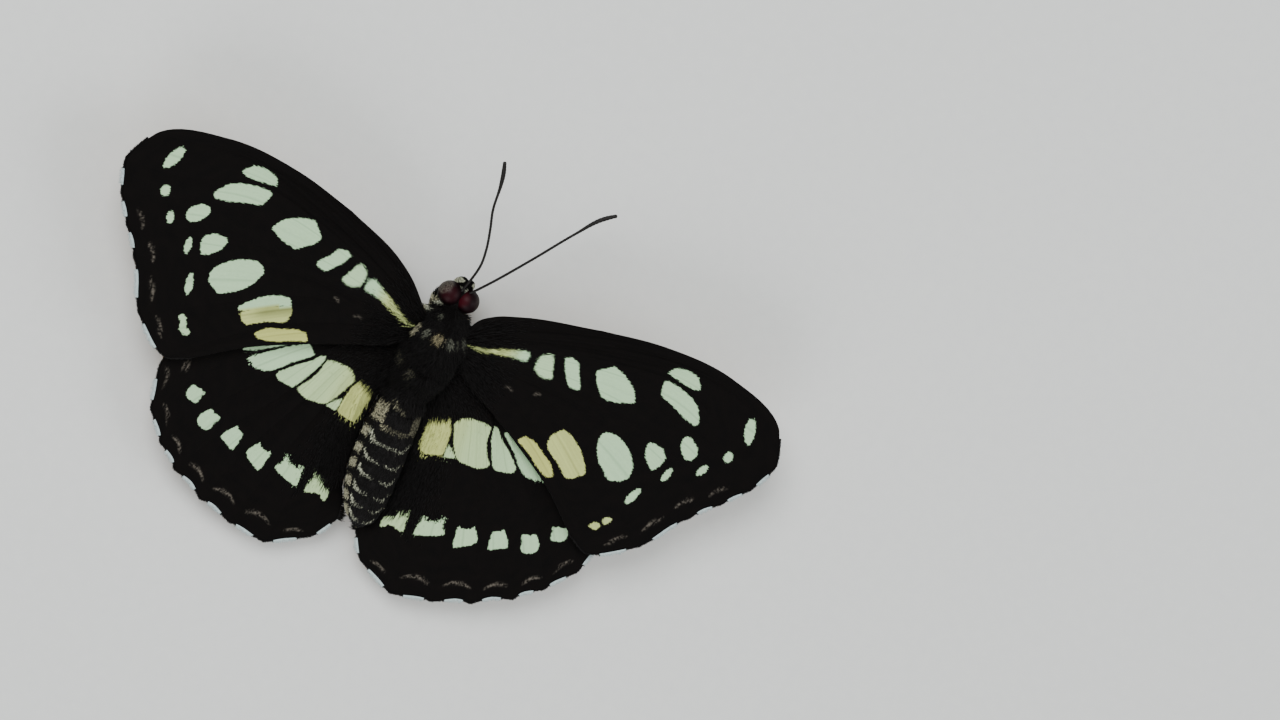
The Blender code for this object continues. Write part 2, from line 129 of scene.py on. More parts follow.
# Where a leg narrows between its segments: (share of its length, depth, width).
FOOT_JOINTS = ((0.68, 0.3, 0.015), (0.78, 0.3, 0.008), (0.84, 0.3, 0.008), (0.89, 0.3, 0.008),
               (0.94, 0.3, 0.008))
LEGS = (
    ("foreleg", FORELEG, ((0.33, 0.25, 0.04), (0.62, 0.25, 0.03))),
    ("midleg", MIDLEG, ((0.14, 0.3, 0.02), (0.40, 0.35, 0.02), *FOOT_JOINTS)),
    ("hindleg", HINDLEG, ((0.12, 0.3, 0.02), (0.36, 0.35, 0.02), *FOOT_JOINTS)),
)

# Wings: the sheet on which they lie.
HINGE_HEIGHT, HINDWING_DROP = 6.0, 1.15
DIHEDRAL, TIP_SAG, WING_REACH = math.radians(5.7), 2.0, 31.0
REAR_FALL, REAR_BEND = 0.08, 0.0012
WALL_CLEAR, WALL_SOFT, WALL_FAR, FOLD_DOWN, WALL_RAMP = -0.10, 0.5, 8.0, 0.8, 6.0
WING_ROWS = 150
COLUMN_SHARES = (0.0, 0.02, 0.05, 0.09, 0.15, 0.24, 0.36, 0.5, 0.64, 0.76, 0.85, 0.91, 0.95, 0.98)
MARGIN_PULL, SLOPE_STEP = 3, 0.02
WING_ROOT_OUT = 1.8
SPACE_WIDTH, GRAIN_LENGTH = 1.3, 30.0

# Fringe layers: (share of the fringe's length, lift, stray). The inner margin has a space of its own.
FRINGE_LAYERS, FRINGE_STEP, INNER_MARGIN = ((1.0, 0.05, 0.16), (0.75, -0.08, 0.30)), 0.036, 99.0

# Forewing lines, front to back: (points from root to margin, share of the length where its ridge begins).
FOREWING = {
    "costa": (((1.8, 0.75), (3.0, 2.9), (4.5, 4.1), (7.5, 5.25), (13.0, 6.82)), 0.0),
    "subcosta": (((1.8, 0.60), (5.0, 2.9), (11.0, 5.6), (19.0, 8.0)), 0.0),
    "radius_3": (((1.8, 0.45), (8.0, 3.6), (16.0, 6.4), (26.0, 8.0)), 0.55),
    "radius_5": (((1.8, 0.30), (8.0, 3.1), (15.0, 5.3), (24.0, 6.9), (32.2, 5.6)), 0.0),
    "media_1": (((1.8, 0.15), (8.0, 2.4), (15.0, 4.5), (21.5, 5.45), (29.2, 2.9), (33.55, 2.4)), 0.43),
    "media_2": (((1.8, 0.00), (8.0, 1.5), (15.0, 2.7), (25.2, 2.05), (32.5, -0.5)), 0.43),
    "media_3": (((1.8, -0.15), (8.0, 0.6), (14.5, 0.8), (24.1, -0.45), (30.7, -2.9)), 0.43),
    "cubitus_1": (((1.8, -0.30), (7.5, -0.35), (13.2, -0.3), (21.4, -2.0), (28.7, -5.3)), 0.0),
    "cubitus_2": (((1.8, -0.45), (7.5, -1.1), (12.5, -1.7), (18.3, -4.9), (25.8, -9.8)), 0.32),
    "anal": (((1.8, -0.60), (7.5, -2.2), (13.3, -4.9), (17.6, -8.2), (21.7, -12.4)), 0.0),
    "dorsum": (((1.8, -0.75), (3.4, -2.2), (10.5, -5.72), (15.8, -8.62), (19.6, -11.5)), 0.0),
}
STREAK_MOVE = {LEFT: (-0.40, 0.0, 1.0, 1.034), RIGHT: (0.05, 0.27, 0.76, 0.955)}
COSTA = {LEFT: ((1.8, 0.75), (3.1, 1.95), (4.84, 3.45), (7.1, 4.8), (13.0, 6.82)),
         RIGHT: ((1.8, 0.75), (2.45, 2.65), (3.6, 3.65), (5.7, 4.65), (13.0, 6.82))}
FOREWING_SCALLOP = {"radius_5": 0.10, "media_1": 0.22, "media_2": 0.25, "media_3": 0.25,
                    "cubitus_1": 0.35, "cubitus_2": 0.30}

# Hindwing lines in (degrees, radius) about its own hinge, in the mean of the two sides' spreads.
HINDWING_HINGE = (2.2, -2.5)
HINDWING_ROOT_OUT, HINDWING_ROOT_FORE, HINDWING_ROOT_STEP = 1.6, -1.9, 0.17
HINDWING = {
    "costa": (((18, 3.0), (6, 6.5), (-1.6, 11.4), (-7, 15.6), (-15, 19.6)), 0.0),
    "subcosta": (((4, 4.5), (-8, 11.0), (-17, 17.5), (-26, 22.3)), 0.0),
    "radius": (((-8, 4.5), (-19, 11.5), (-29.5, 19.0), (-35.5, 23.5)), 0.0),
    "media_1": (((-15, 4.5), (-25, 8.1), (-33.5, 12.2), (-39, 18.5), (-43.7, 23.6)), 0.28),
    "media_2": (((-22, 4.5), (-31, 7.2), (-42.2, 11.0), (-47.5, 18.0), (-50.9, 23.5)), 0.28),
    "media_3": (((-34, 4.5), (-50, 10.0), (-56.3, 17.0), (-60.5, 23.1)), 0.28),
    "cubitus_1": (((-46, 4.5), (-59.3, 9.0), (-66.4, 16.1), (-69.5, 22.7)), 0.0),
    "cubitus_2": (((-58, 4.5), (-68.0, 8.5), (-76.5, 15.8), (-79.3, 22.3)), 0.2),
    "anal": (((-70, 4.5), (-80, 9.0), (-86, 15.0), (-88.7, 20.0)), 0.0),
    "dorsum": (((-97, 4.5), (-94, 9.0), (-95, 13.5), (-93.5, 17.6)), 0.0),
}
HINDWING_SCALLOP = {"subcosta": 0.35, "radius": 0.5, "media_1": 0.5, "media_2": 0.5, "media_3": 0.55,
                    "cubitus_1": 0.55, "cubitus_2": 0.45}
OUTER_MARKS_INNER_EDGE, INNER_MARKS_BACK = 14.6, math.radians(1.5)
HINDWING_SPREAD = {LEFT: math.radians(-4.45), RIGHT: math.radians(4.45)}

# Pale marks of the forewing: (how cream rather than white, outline in (out, fore)).
FOREWING_MARKS = {
    "cell_streak": (0.55, ((2.7, 0.18), (3.9, 0.40), (4.7, 0.72), (5.8, 1.2), (7.1, 1.7), (8.1, 2.1),
                           (8.6, 1.75),
                           (8.5, 0.85), (7.6, 0.75), (6.8, 0.66), (5.9, 0.42), (4.7, 0.18), (3.9, 0.02),
                           (2.8, -0.02))),
    "cell_spot_inner": (0.1, ((9.0, 2.3), (9.8, 2.9), (10.2, 2.7), (10.7, 1.6), (11.0, 0.9), (10.7, 0.6),
                              (10.0, 0.5), (9.0, 0.9), (8.9, 1.7))),
    "cell_spot_outer": (0.0, ((11.0, 3.2), (11.6, 3.5), (12.5, 3.3), (13.0, 2.4), (13.75, 1.25),
                              (13.5, 0.85),
                              (12.7, 0.75), (12.2, 1.1), (11.5, 2.0), (11.1, 2.7))),
    "end_of_cell": (0.0, ((14.1, 3.3), (14.9, 4.0), (15.5, 4.5), (16.8, 4.15), (18.2, 3.3), (18.9, 2.2),
                          (18.6, 1.9), (17.3, 1.35), (16.1, 1.15), (15.6, 1.3), (14.5, 2.4))),
    "apex_upper": (0.0, ((20.1, 6.0), (20.6, 6.8), (21.8, 7.1), (23.0, 6.9), (23.8, 6.0), (23.6, 5.6),
                         (22.6, 5.5), (20.3, 5.8))),
    "apex_lower": (0.0, ((20.2, 5.4), (21.8, 5.35), (23.5, 4.9), (24.4, 4.3), (25.2, 3.1), (24.9, 2.55),
                         (23.6, 2.75), (21.8, 3.4), (20.5, 3.8))),
    "space_3": (0.0, ((24.3, 0.8), (24.5, 1.5), (25.2, 1.6), (26.1, 1.0), (26.5, 0.3), (26.2, -0.45),
                      (25.6, -0.65), (24.8, -0.15))),
    "space_2_upper": (0.0, ((21.6, -0.7), (21.9, -0.35), (22.8, -0.35), (23.3, -0.45), (24.0, -1.2),
                            (23.9, -2.0), (23.35, -2.9), (22.5, -2.45), (21.8, -1.65))),
    "big_oval": (0.0, ((17.3, -1.9), (17.75, -1.25), (18.8, -1.1), (20.5, -1.85), (21.65, -3.1),
                       (21.9, -4.3),
                       (21.4, -5.0), (20.4, -5.4), (20.0, -5.4), (18.5, -4.35), (17.6, -3.15))),
    "rear_white": (0.0, ((13.65, -3.45), (14.1, -2.8), (15.0, -2.95), (16.4, -3.7), (17.5, -4.8),
                         (18.1, -5.7),
                         (17.75, -6.15), (16.2, -5.02), (14.7, -4.20))),
    # The rear mark's cream half is painted shade, where the hindwing lies beneath the forewing.
    "rear_shaded": (0.85, ((13.25, -4.1), (13.6, -3.4), (14.8, -4.0), (16.2, -4.85), (17.75, -6.1),
                          (17.6, -6.35),
                          (17.0, -6.9), (16.4, -6.95), (15.0, -6.0), (13.5, -5.1))),
    "inner_cream": (1.0, ((10.8, -5.5), (11.3, -4.95), (12.5, -5.0), (13.6, -5.6), (14.8, -6.25),
                          (15.6, -7.3),
                          (14.9, -7.75), (13.6, -7.2), (12.3, -6.4), (10.9, -5.8))),
    "margin_apex": (0.0, ((29.0, 5.4), (29.5, 5.7), (30.2, 5.0), (30.5, 3.9), (30.45, 3.2), (30.1, 2.9),
                          (29.4, 3.6), (29.05, 4.5))),
}
# Small oval marks: (how cream, middle, width, height, degrees turned).
FOREWING_SPOTS = (
    (0.0, (29.1, 1.35), 1.1, 1.3, 0), (0.0, (27.5, -0.75), 1.6, 0.9, 65),
    (0.0, (24.75, -2.55), 1.8, 0.85, 78),
    (0.0, (22.95, -5.7), 2.3, 1.0, 72), (0.1, (21.95, -8.85), 1.20, 0.95, 35),
    (0.1, (21.25, -9.80), 1.45, 0.95, 10),
)
# Faint grey dustings: (middle, length, width, degrees turned).
FOREWING_DUST = (
    ((7.85, -1.62), 0.75, 0.12, -12), ((10.35, -1.0), 0.60, 0.16, 30), ((4.8, -3.5), 1.5, 0.10, 8),
    ((29.7, -1.9), 1.7, 0.16, 50), ((27.4, -4.2), 1.9, 0.18, 50), ((25.7, -7.4), 2.0, 0.20, 60),
    ((23.6, -10.0), 1.9, 0.18, 52),
)

# Pale marks of the hindwing, read on the left wing as it lies.
HINDWING_MARKS = {
    "hairy_base": (0.9, ((2.4, -7.6), (3.6, -7.0), (4.3, -7.0), (4.8, -8.2), (4.85, -10.6), (3.4, -11.0),
                         (2.6, -10.6))),
    "wedge": (0.35, ((4.95, -9.3), (6.1, -10.55), (5.5, -10.7), (4.95, -10.65))),
    "cell": (0.6, ((4.7, -7.3), (5.5, -6.5), (6.8, -6.4), (8.05, -6.6), (8.2, -8.0), (8.62, -9.1),
                   (9.25, -10.1),
                    (9.0, -10.5), (8.0, -10.8), (6.7, -10.7), (6.1, -10.4), (5.4, -9.3), (4.95, -8.0))),
    "space_4": (0.28, ((8.2, -6.4), (8.75, -6.55), (9.3, -7.3), (10.5, -8.3), (11.6, -9.5), (11.65, -10.0),
                       (11.1, -10.3), (9.8, -10.35), (9.45, -10.0), (8.85, -8.75), (8.45, -7.7))),
    "space_5": (0.05, ((9.3, -6.75), (10.2, -6.0), (11.1, -6.45), (12.3, -7.35), (13.6, -8.35),
                       (14.7, -9.35),
                       (14.5, -9.9), (13.9, -10.2), (12.7, -10.1), (11.95, -9.6), (10.8, -8.2),
                       (9.9, -7.35))),
    "space_6": (0.0, ((11.2, -6.1), (12.4, -6.5), (13.6, -7.2), (14.8, -7.9), (15.9, -8.7), (15.5, -9.05),
                      (15.0, -9.0), (13.6, -8.1), (12.2, -7.05))),
    "outer_1": (0.3, ((3.87, -18.80), (3.86, -18.09), (3.72, -17.32), (3.81, -16.53), (3.68, -16.36),
                      (3.38, -16.69),
                      (3.00, -16.75), (2.70, -17.09), (2.34, -17.52), (1.96, -17.58), (1.61, -17.77),
                      (1.41, -18.38),
                      (1.51, -19.02), (1.93, -18.87), (2.33, -18.57), (2.78, -18.59), (3.20, -18.85),
                      (3.66, -18.94))),
    "outer_2": (0.15, ((7.49, -17.80), (7.25, -17.33), (7.03, -16.99), (7.05, -16.37), (6.85, -16.16),
                       (6.52, -16.60), (6.27, -16.83), (5.75, -16.95), (5.28, -16.78), (5.09, -16.58),
                       (4.88, -16.67),
                       (4.80, -17.22), (4.62, -17.96), (4.59, -18.75), (5.37, -18.66), (6.41, -18.43),
                       (7.18, -18.07))),
    "outer_3": (0.1, ((10.53, -17.63), (10.43, -17.11), (10.13, -16.62), (9.82, -16.17), (9.64, -16.16),
                      (9.45, -16.54), (8.97, -16.67), (8.69, -16.78), (8.44, -16.61), (8.19, -17.02),
                      (8.31, -17.54),
                      (8.33, -18.25), (8.50, -18.85), (8.95, -18.77), (9.43, -18.52), (10.11, -18.18))),
    "outer_4": (0.0, ((13.35, -17.42), (13.30, -16.82), (12.94, -16.23), (12.55, -15.72), (12.34, -15.57),
                      (12.17, -15.87), (11.57, -16.06), (11.33, -16.41), (11.46, -16.89), (11.43, -17.35),
                      (11.59, -18.08), (12.02, -18.04), (12.56, -17.76))),
    "outer_5": (0.0, ((16.05, -16.83), (16.12, -16.17), (15.76, -15.60), (15.41, -15.20), (15.16, -15.13),
                      (14.89, -15.47), (14.41, -15.48), (14.02, -15.71), (14.09, -16.07), (14.31, -16.41),
                      (14.30, -16.82), (14.62, -17.39), (15.10, -17.43), (15.69, -17.24))),
    "outer_6": (0.0, ((18.26, -14.98), (18.21, -14.37), (17.97, -13.79), (17.65, -13.76), (17.33, -13.95),
                      (17.01, -13.91), (16.37, -14.19), (16.61, -14.65), (16.62, -15.24), (16.90, -15.56),
                      (17.52, -15.44), (17.97, -15.30))),
}
HINDWING_DUST = (
    ((19.3, -12.6), 0.7, 0.5, 0), ((20.4, -14.2), 1.7, 0.16, 68), ((18.7, -17.3), 1.8, 0.18, 55),
    ((16.4, -19.5), 1.9, 0.20, 40), ((13.5, -21.0), 2.1, 0.24, 26), ((10.2, -21.9), 2.4, 0.26, 10),
    ((6.4, -22.5), 2.6, 0.26, 2), ((2.8, -22.5), 1.6, 0.18, -25),
)

# Pale marks of the back, seen from above: (how cream, (x, y) middle, width, length, degrees turned).
BACK_MARKS = (
    (0.45, (2.55, 0.24), 1.75, 0.48, 64), (0.0, (1.48, -0.10), 0.46, 0.62, 0),
    (0.75, (0.48, -0.06), 0.84, 0.80, 0),
    (0.0, (-0.50, -0.08), 0.60, 0.80, 10), (0.0, (-1.21, -0.21), 0.30, 0.62, 15),
    (0.0, (-1.78, -0.46), 0.34, 0.86, 20), (0.5, (-2.36, -0.60), 0.44, 0.40, 0),
    (0.4, (2.25, 2.95), 1.00, 0.20, -52), (0.4, (1.10, 3.80), 1.20, 0.20, -37),
    (0.0, (0.93, -1.80), 0.40, 0.40, 0),
)
BACK_FADED = (0.33, 0.74, 0.47, 0.78, 0.88, 0.89, 0.55, 0.88, 0.84, 0.86)

# Camera, as the photograph was taken: turned about the butterfly, in degrees and millimetres.
CAMERA_AZIMUTH, CAMERA_ELEVATION, CAMERA_ROLL = 64.4277, 70.4881, 142.4316
CAMERA_LENS, CAMERA_DISTANCE, CAMERA_TARGET = 200.0, 645.667, (-17.9689, -5.5995, 5.0)

CAMERA_SENSOR = 36.0

# Floor rings and lamps, in metres: (name, place, size, power).
FLOOR_RINGS, FLOOR_SIDES = (0.05, 0.2, 0.8, 3.0), 48
LAMPS = (("key", (0.30, -0.28, 0.55), 0.35, 5.2), ("fill", (-0.50, -0.10, 0.45), 0.45, 2.2),
         ("back", (0.05, 0.50, 0.35), 0.40, 2.2))

# Side of the UV patch that a tuft takes at its root's place.
PATCH = 0.003


def linear(hex_colour):
    """A linear colour from an sRGB hex value such as #C8D0C3."""
    values = [int(hex_colour[i:i + 2], 16) / 255 for i in (1, 3, 5)]
    return tuple(v / 12.92 if v <= 0.04045 else ((v + 0.055) / 1.055) ** 2.4 for v in values)


class ButterflySizes(bpy.types.PropertyGroup):
    """Sizes that change how the butterfly is built."""

    membrane: bpy.props.FloatProperty(name="Wing thickness", description="Thickness of the scaled membrane",
                                      default=0.00012, unit="LENGTH")
    vein: bpy.props.FloatProperty(name="Vein height", description="Rise of a vein at the wing's root",
                                  default=0.00016, unit="LENGTH")
    fringe: bpy.props.FloatProperty(name="Fringe", description="Length of the scales along the margins",
                                    default=0.00030, unit="LENGTH")
    thorax_hair: bpy.props.FloatProperty(name="Thorax hair", description="Length of the longest back hair",
                                         default=0.0012, unit="LENGTH")
    abdomen_hair: bpy.props.FloatProperty(name="Abdomen scales",
                                          description="Length of the abdomen's scales",
                                          default=0.00040, unit="LENGTH")
    head_hair: bpy.props.FloatProperty(name="Head hair", description="Length of the hair between the eyes",
                                       default=0.00055, unit="LENGTH")
    wing_hair: bpy.props.FloatProperty(name="Wing hair", description="Length of the hair at the wing roots",
                                       default=0.0011, unit="LENGTH")


class ButterflyColours(bpy.types.PropertyGroup):
    """Colours of the scales, the horn and the eyes."""

    black: bpy.props.FloatVectorProperty(name="Ground", description="Velvet black ground of the wings",
                                         subtype="COLOR", default=linear("#040404"))
    brown: bpy.props.FloatVectorProperty(name="Worn ground", description="Brown cast of the black",
                                         subtype="COLOR", default=linear("#0B0807"))
    # This white has a green tint that is a painted cast of the light; the marks themselves are white.
    white: bpy.props.FloatVectorProperty(name="White", description="White marks", subtype="COLOR",
                                         default=linear("#A0C099"))
    cream: bpy.props.FloatVectorProperty(name="Cream", description="Cream marks near the body",
                                         subtype="COLOR", default=linear("#AEB266"))
    pearl: bpy.props.FloatVectorProperty(name="Pearl", description="Pale scales of the body",
                                         subtype="COLOR",
                                         default=linear("#BCC0AA"))
    frost: bpy.props.FloatVectorProperty(name="Frost", description="Cool white hair of the fringes",
                                         subtype="COLOR", default=linear("#AEBDC2"))
    sand: bpy.props.FloatVectorProperty(name="Sand", description="Warm pale hair of the collar",
                                        subtype="COLOR", default=linear("#BBAB7C"))
    # Also the grey of the eyes' painted reflection.
    dust: bpy.props.FloatVectorProperty(name="Dust", description="Faint grey lunules near the margins",
                                        subtype="COLOR", default=linear("#57524A"))
    ochre: bpy.props.FloatVectorProperty(name="Underside", description="Orange ochre of the underside",
                                         subtype="COLOR", default=linear("#C98A34"))
    horn: bpy.props.FloatVectorProperty(name="Horn", description="Dark horn of legs and antennae",
                                        subtype="COLOR", default=linear("#15100D"))
    # The red of the eyes' painted highlight.
    eye: bpy.props.FloatVectorProperty(name="Eye", description="Maroon of the eyes", subtype="COLOR",
                                       default=linear("#2C030A"))


def sizes():
    return bpy.context.scene.butterfly_sizes


def colour(name):
    return (*getattr(bpy.context.scene.butterfly_colours, name), 1.0)


# Geometry in millimetres.


def curve(points, shares):
    """Points at shares of the length of a smooth curve through the given points."""
    points = np.asarray(points, float)
    shares = np.asarray(shares, float)
    knots = np.concatenate([[0.0], np.cumsum(np.linalg.norm(np.diff(points, axis=0), axis=1))])
    slopes = np.gradient(points, knots, axis=0)
    place = np.clip(shares, 0.0, 1.0) * knots[-1]
    i = np.clip(np.searchsorted(knots, place, "right") - 1, 0, len(points) - 2)
    width = (knots[i + 1] - knots[i])[:, None]
    s = (place - knots[i])[:, None] / width
    return ((2 * s**3 - 3 * s**2 + 1) * points[i] + (s**3 - 2 * s**2 + s) * width * slopes[i]
            + (3 * s**2 - 2 * s**3) * points[i + 1] + (s**3 - s**2) * width * slopes[i + 1])


def hump(distance, width):
    """A smooth bell of height one."""
    return np.exp(-(np.asarray(distance) / width) ** 2)


def ramp(value, low, high):
    """From zero at low to one at high, smoothly."""
    s = np.clip((np.asarray(value, float) - low) / (high - low), 0.0, 1.0)
    return s * s * (3 - 2 * s)


def unit(vectors):
    return vectors / np.maximum(np.linalg.norm(vectors, axis=-1, keepdims=True), 1e-12)


def grid_faces(columns, rows, around=False):
    """Quads of a grid whose points are stored column by column."""
    c = np.arange(columns if around else columns - 1)[:, None]
    r = np.arange(rows - 1)[None, :]
    a = c * rows + r
    b = ((c + 1) % columns) * rows + r
    return np.stack([a, b, b + 1, a + 1], -1).reshape(-1, 4)


def rounded(outline, steps=4):
    """A closed outline with its corners softened by a smooth curve through them."""
    points = np.asarray(outline, float)
    ahead, behind, beyond = np.roll(points, -1, 0), np.roll(points, 1, 0), np.roll(points, -2, 0)
    made = []
    for k in range(steps):
        s = k / steps
        bowed = 0.5 * (2 * points + (ahead - behind) * s
                       + (2 * behind - 5 * points + 4 * ahead - beyond) * s**2
                       + (3 * points - behind - 3 * ahead + beyond) * s**3)
        made.append(0.5 * bowed + 0.5 * (points + (ahead - points) * s))
    return np.stack(made, 1).reshape(-1, 2)


def oval(middle, width, height, degrees, steps=20):
    turn = np.linspace(0, 2 * math.pi, steps, endpoint=False)
    x, y = width / 2 * np.cos(turn), height / 2 * np.sin(turn)
    a = math.radians(degrees)
    return np.stack([middle[0] + x * math.cos(a) - y * math.sin(a),
                     middle[1] + x * math.sin(a) + y * math.cos(a)], 1)


def crescent(middle, length, width, degrees):
    """A thin bow whose ends turn towards the wing's margin."""
    t = np.linspace(-1, 1, 9)
    line = np.stack([length / 2 * t, -0.16 * length * t**2], 1)
    half = np.stack([0 * t, width / 2 * (1 - 0.8 * t**2)], 1)
    points = np.concatenate([line + half, (line - half)[::-1]])
    a = math.radians(degrees)
    return np.array(middle) + points @ np.array(((math.cos(a), math.sin(a)), (-math.sin(a), math.cos(a))))


def depth_inside(points, outline):
    """Distance from each point to an outline in the plane, positive inside it."""
    a, b = outline, np.roll(outline, -1, 0)
    ab = b - a
    ap = points[:, None, :] - a[None]
    t = np.clip((ap * ab).sum(-1) / (ab**2).sum(-1), 0, 1)
    distance = np.linalg.norm(ap - t[..., None] * ab, axis=-1).min(1)
    above_a, above_b = a[None, :, 1] > points[:, None, 1], b[None, :, 1] > points[:, None, 1]
    rise = np.where(ab[:, 1] == 0, 1e-9, ab[:, 1])
    cut = a[None, :, 0] + ab[None, :, 0] * (points[:, None, 1] - a[None, :, 1]) / rise
    inside = ((above_a != above_b) & (points[:, None, 0] < cut)).sum(1) % 2 == 1
    return np.where(inside, distance, -distance)


def deepest(points, outlines, creams):
    """Depth in the nearest of many marks, and how cream that mark is."""
    depths = np.stack([depth_inside(points, o) for o in outlines])
    return depths.max(0), np.asarray(creams)[depths.argmax(0)]


def in_place(points):
    """Metres in the model's frame, from millimetres about the forewing roots."""
    return (np.asarray(points, float) + SHIFT) * MM


# Meshes and node trees.


def put_in_scene(name, data):
    """An object for a mesh, a lamp or a camera, linked at the origin."""
    obj = bpy.data.objects.new(name, data)
    bpy.context.scene.collection.objects.link(obj)
    return obj


def put_attributes(mesh, values):
    """Point attributes from arrays that hold one number or one vector for each vertex."""
    for key, value in values.items():
        value = np.asarray(value, np.float32)
        kind, field = ("FLOAT", "value") if value.ndim == 1 else ("FLOAT_VECTOR", "vector")
        mesh.attributes.new(key, kind, "POINT").data.foreach_set(field, value.ravel())


def add_mesh(name, points, faces, materials, values=None, indices=None):
    """A mesh object from points in millimetres, with its attributes and its faces turned out."""
    made = bpy.data.meshes.new(name)
    made.from_pydata(in_place(points).tolist(), [], [list(map(int, f)) for f in faces])
    put_attributes(made, values or {})
    for material in materials:
        made.materials.append(material)
    if indices is not None:
        made.polygons.foreach_set("material_index", np.asarray(indices, np.int32))
    shape = bmesh.new()
    shape.from_mesh(made)
    bmesh.ops.recalc_face_normals(shape, faces=shape.faces)
    shape.to_mesh(made)
    shape.free()
    made.shade_smooth()
    return put_in_scene(name, made)


def loop_vertices(mesh):
    """The vertex at each face corner."""
    vertices = np.empty(len(mesh.loops), np.int32)
    mesh.loops.foreach_get("vertex_index", vertices)
    return vertices


def add_uv(obj, name, places):
    """A UV map from one place for each vertex."""
    corners = np.asarray(places)[loop_vertices(obj.data)]
    layer = obj.data.uv_layers.new(name=name)
    layer.data.foreach_set("uv", np.asarray(corners, np.float32).ravel())


def add_node(tree, kind, inputs=None, **settings):
    """Adds a node with its settings, and gives its sockets values or links."""
    made = tree.nodes.new(kind)
    for key, value in settings.items():
        setattr(made, key, value)
    for key, value in (inputs or {}).items():
        if isinstance(value, bpy.types.NodeSocket):
            tree.links.new(value, made.inputs[key])
        else:
            made.inputs[key].default_value = value
    return made


def start_material(name, **fixed):
    """A material whose shader has these fixed values, with its tree and shader."""
    made = bpy.data.materials.new(name)
    made.use_nodes = True
    tree = made.node_tree
    shader = tree.nodes["Principled BSDF"]
    for key, value in fixed.items():
        shader.inputs[key.replace("_", " ")].default_value = value
    return made, tree, shader


def join_piece(obj, slot, *nodes):
    """Sets a finished piece on the frame: what it rides on and stands for. The slot is not used."""
    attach(obj, "root")
    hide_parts(*nodes)


# Materials.


def scale_rows(tree, shader):
    """Rows of scales for both sides of a wing: their relief, then grain, streaks and ragged edge."""
    grain = add_node(tree, "ShaderNodeAttribute", attribute_name="grain").outputs["Vector"]
    # The grain is in millimetres, across and along the wing: the tiles are 0.12 mm wide and 0.33 mm long.
    rows = add_node(tree, "ShaderNodeMapping", {"Vector": grain, "Scale": (1.0, 0.38, 1.0)}).outputs[0]
    streaks = add_node(tree, "ShaderNodeTexNoise", {"Vector": rows, "Scale": 6.5, "Detail": 3.0,
                                                    "Roughness": 0.62}).outputs["Fac"]
    ragged = add_node(tree, "ShaderNodeMath", {0: streaks, 1: 0.5}, operation="SUBTRACT").outputs[0]
    tiles = add_node(tree, "ShaderNodeTexVoronoi", {"Vector": rows, "Scale": 8.0,
                                                    "Randomness": 0.6}).outputs[0]
    relief = add_node(tree, "ShaderNodeBump", {"Height": tiles, "Strength": 0.35, "Distance": 0.03 * MM},
                      invert=True).outputs[0]
    tree.links.new(relief, shader.inputs["Normal"])
    return grain, streaks, ragged


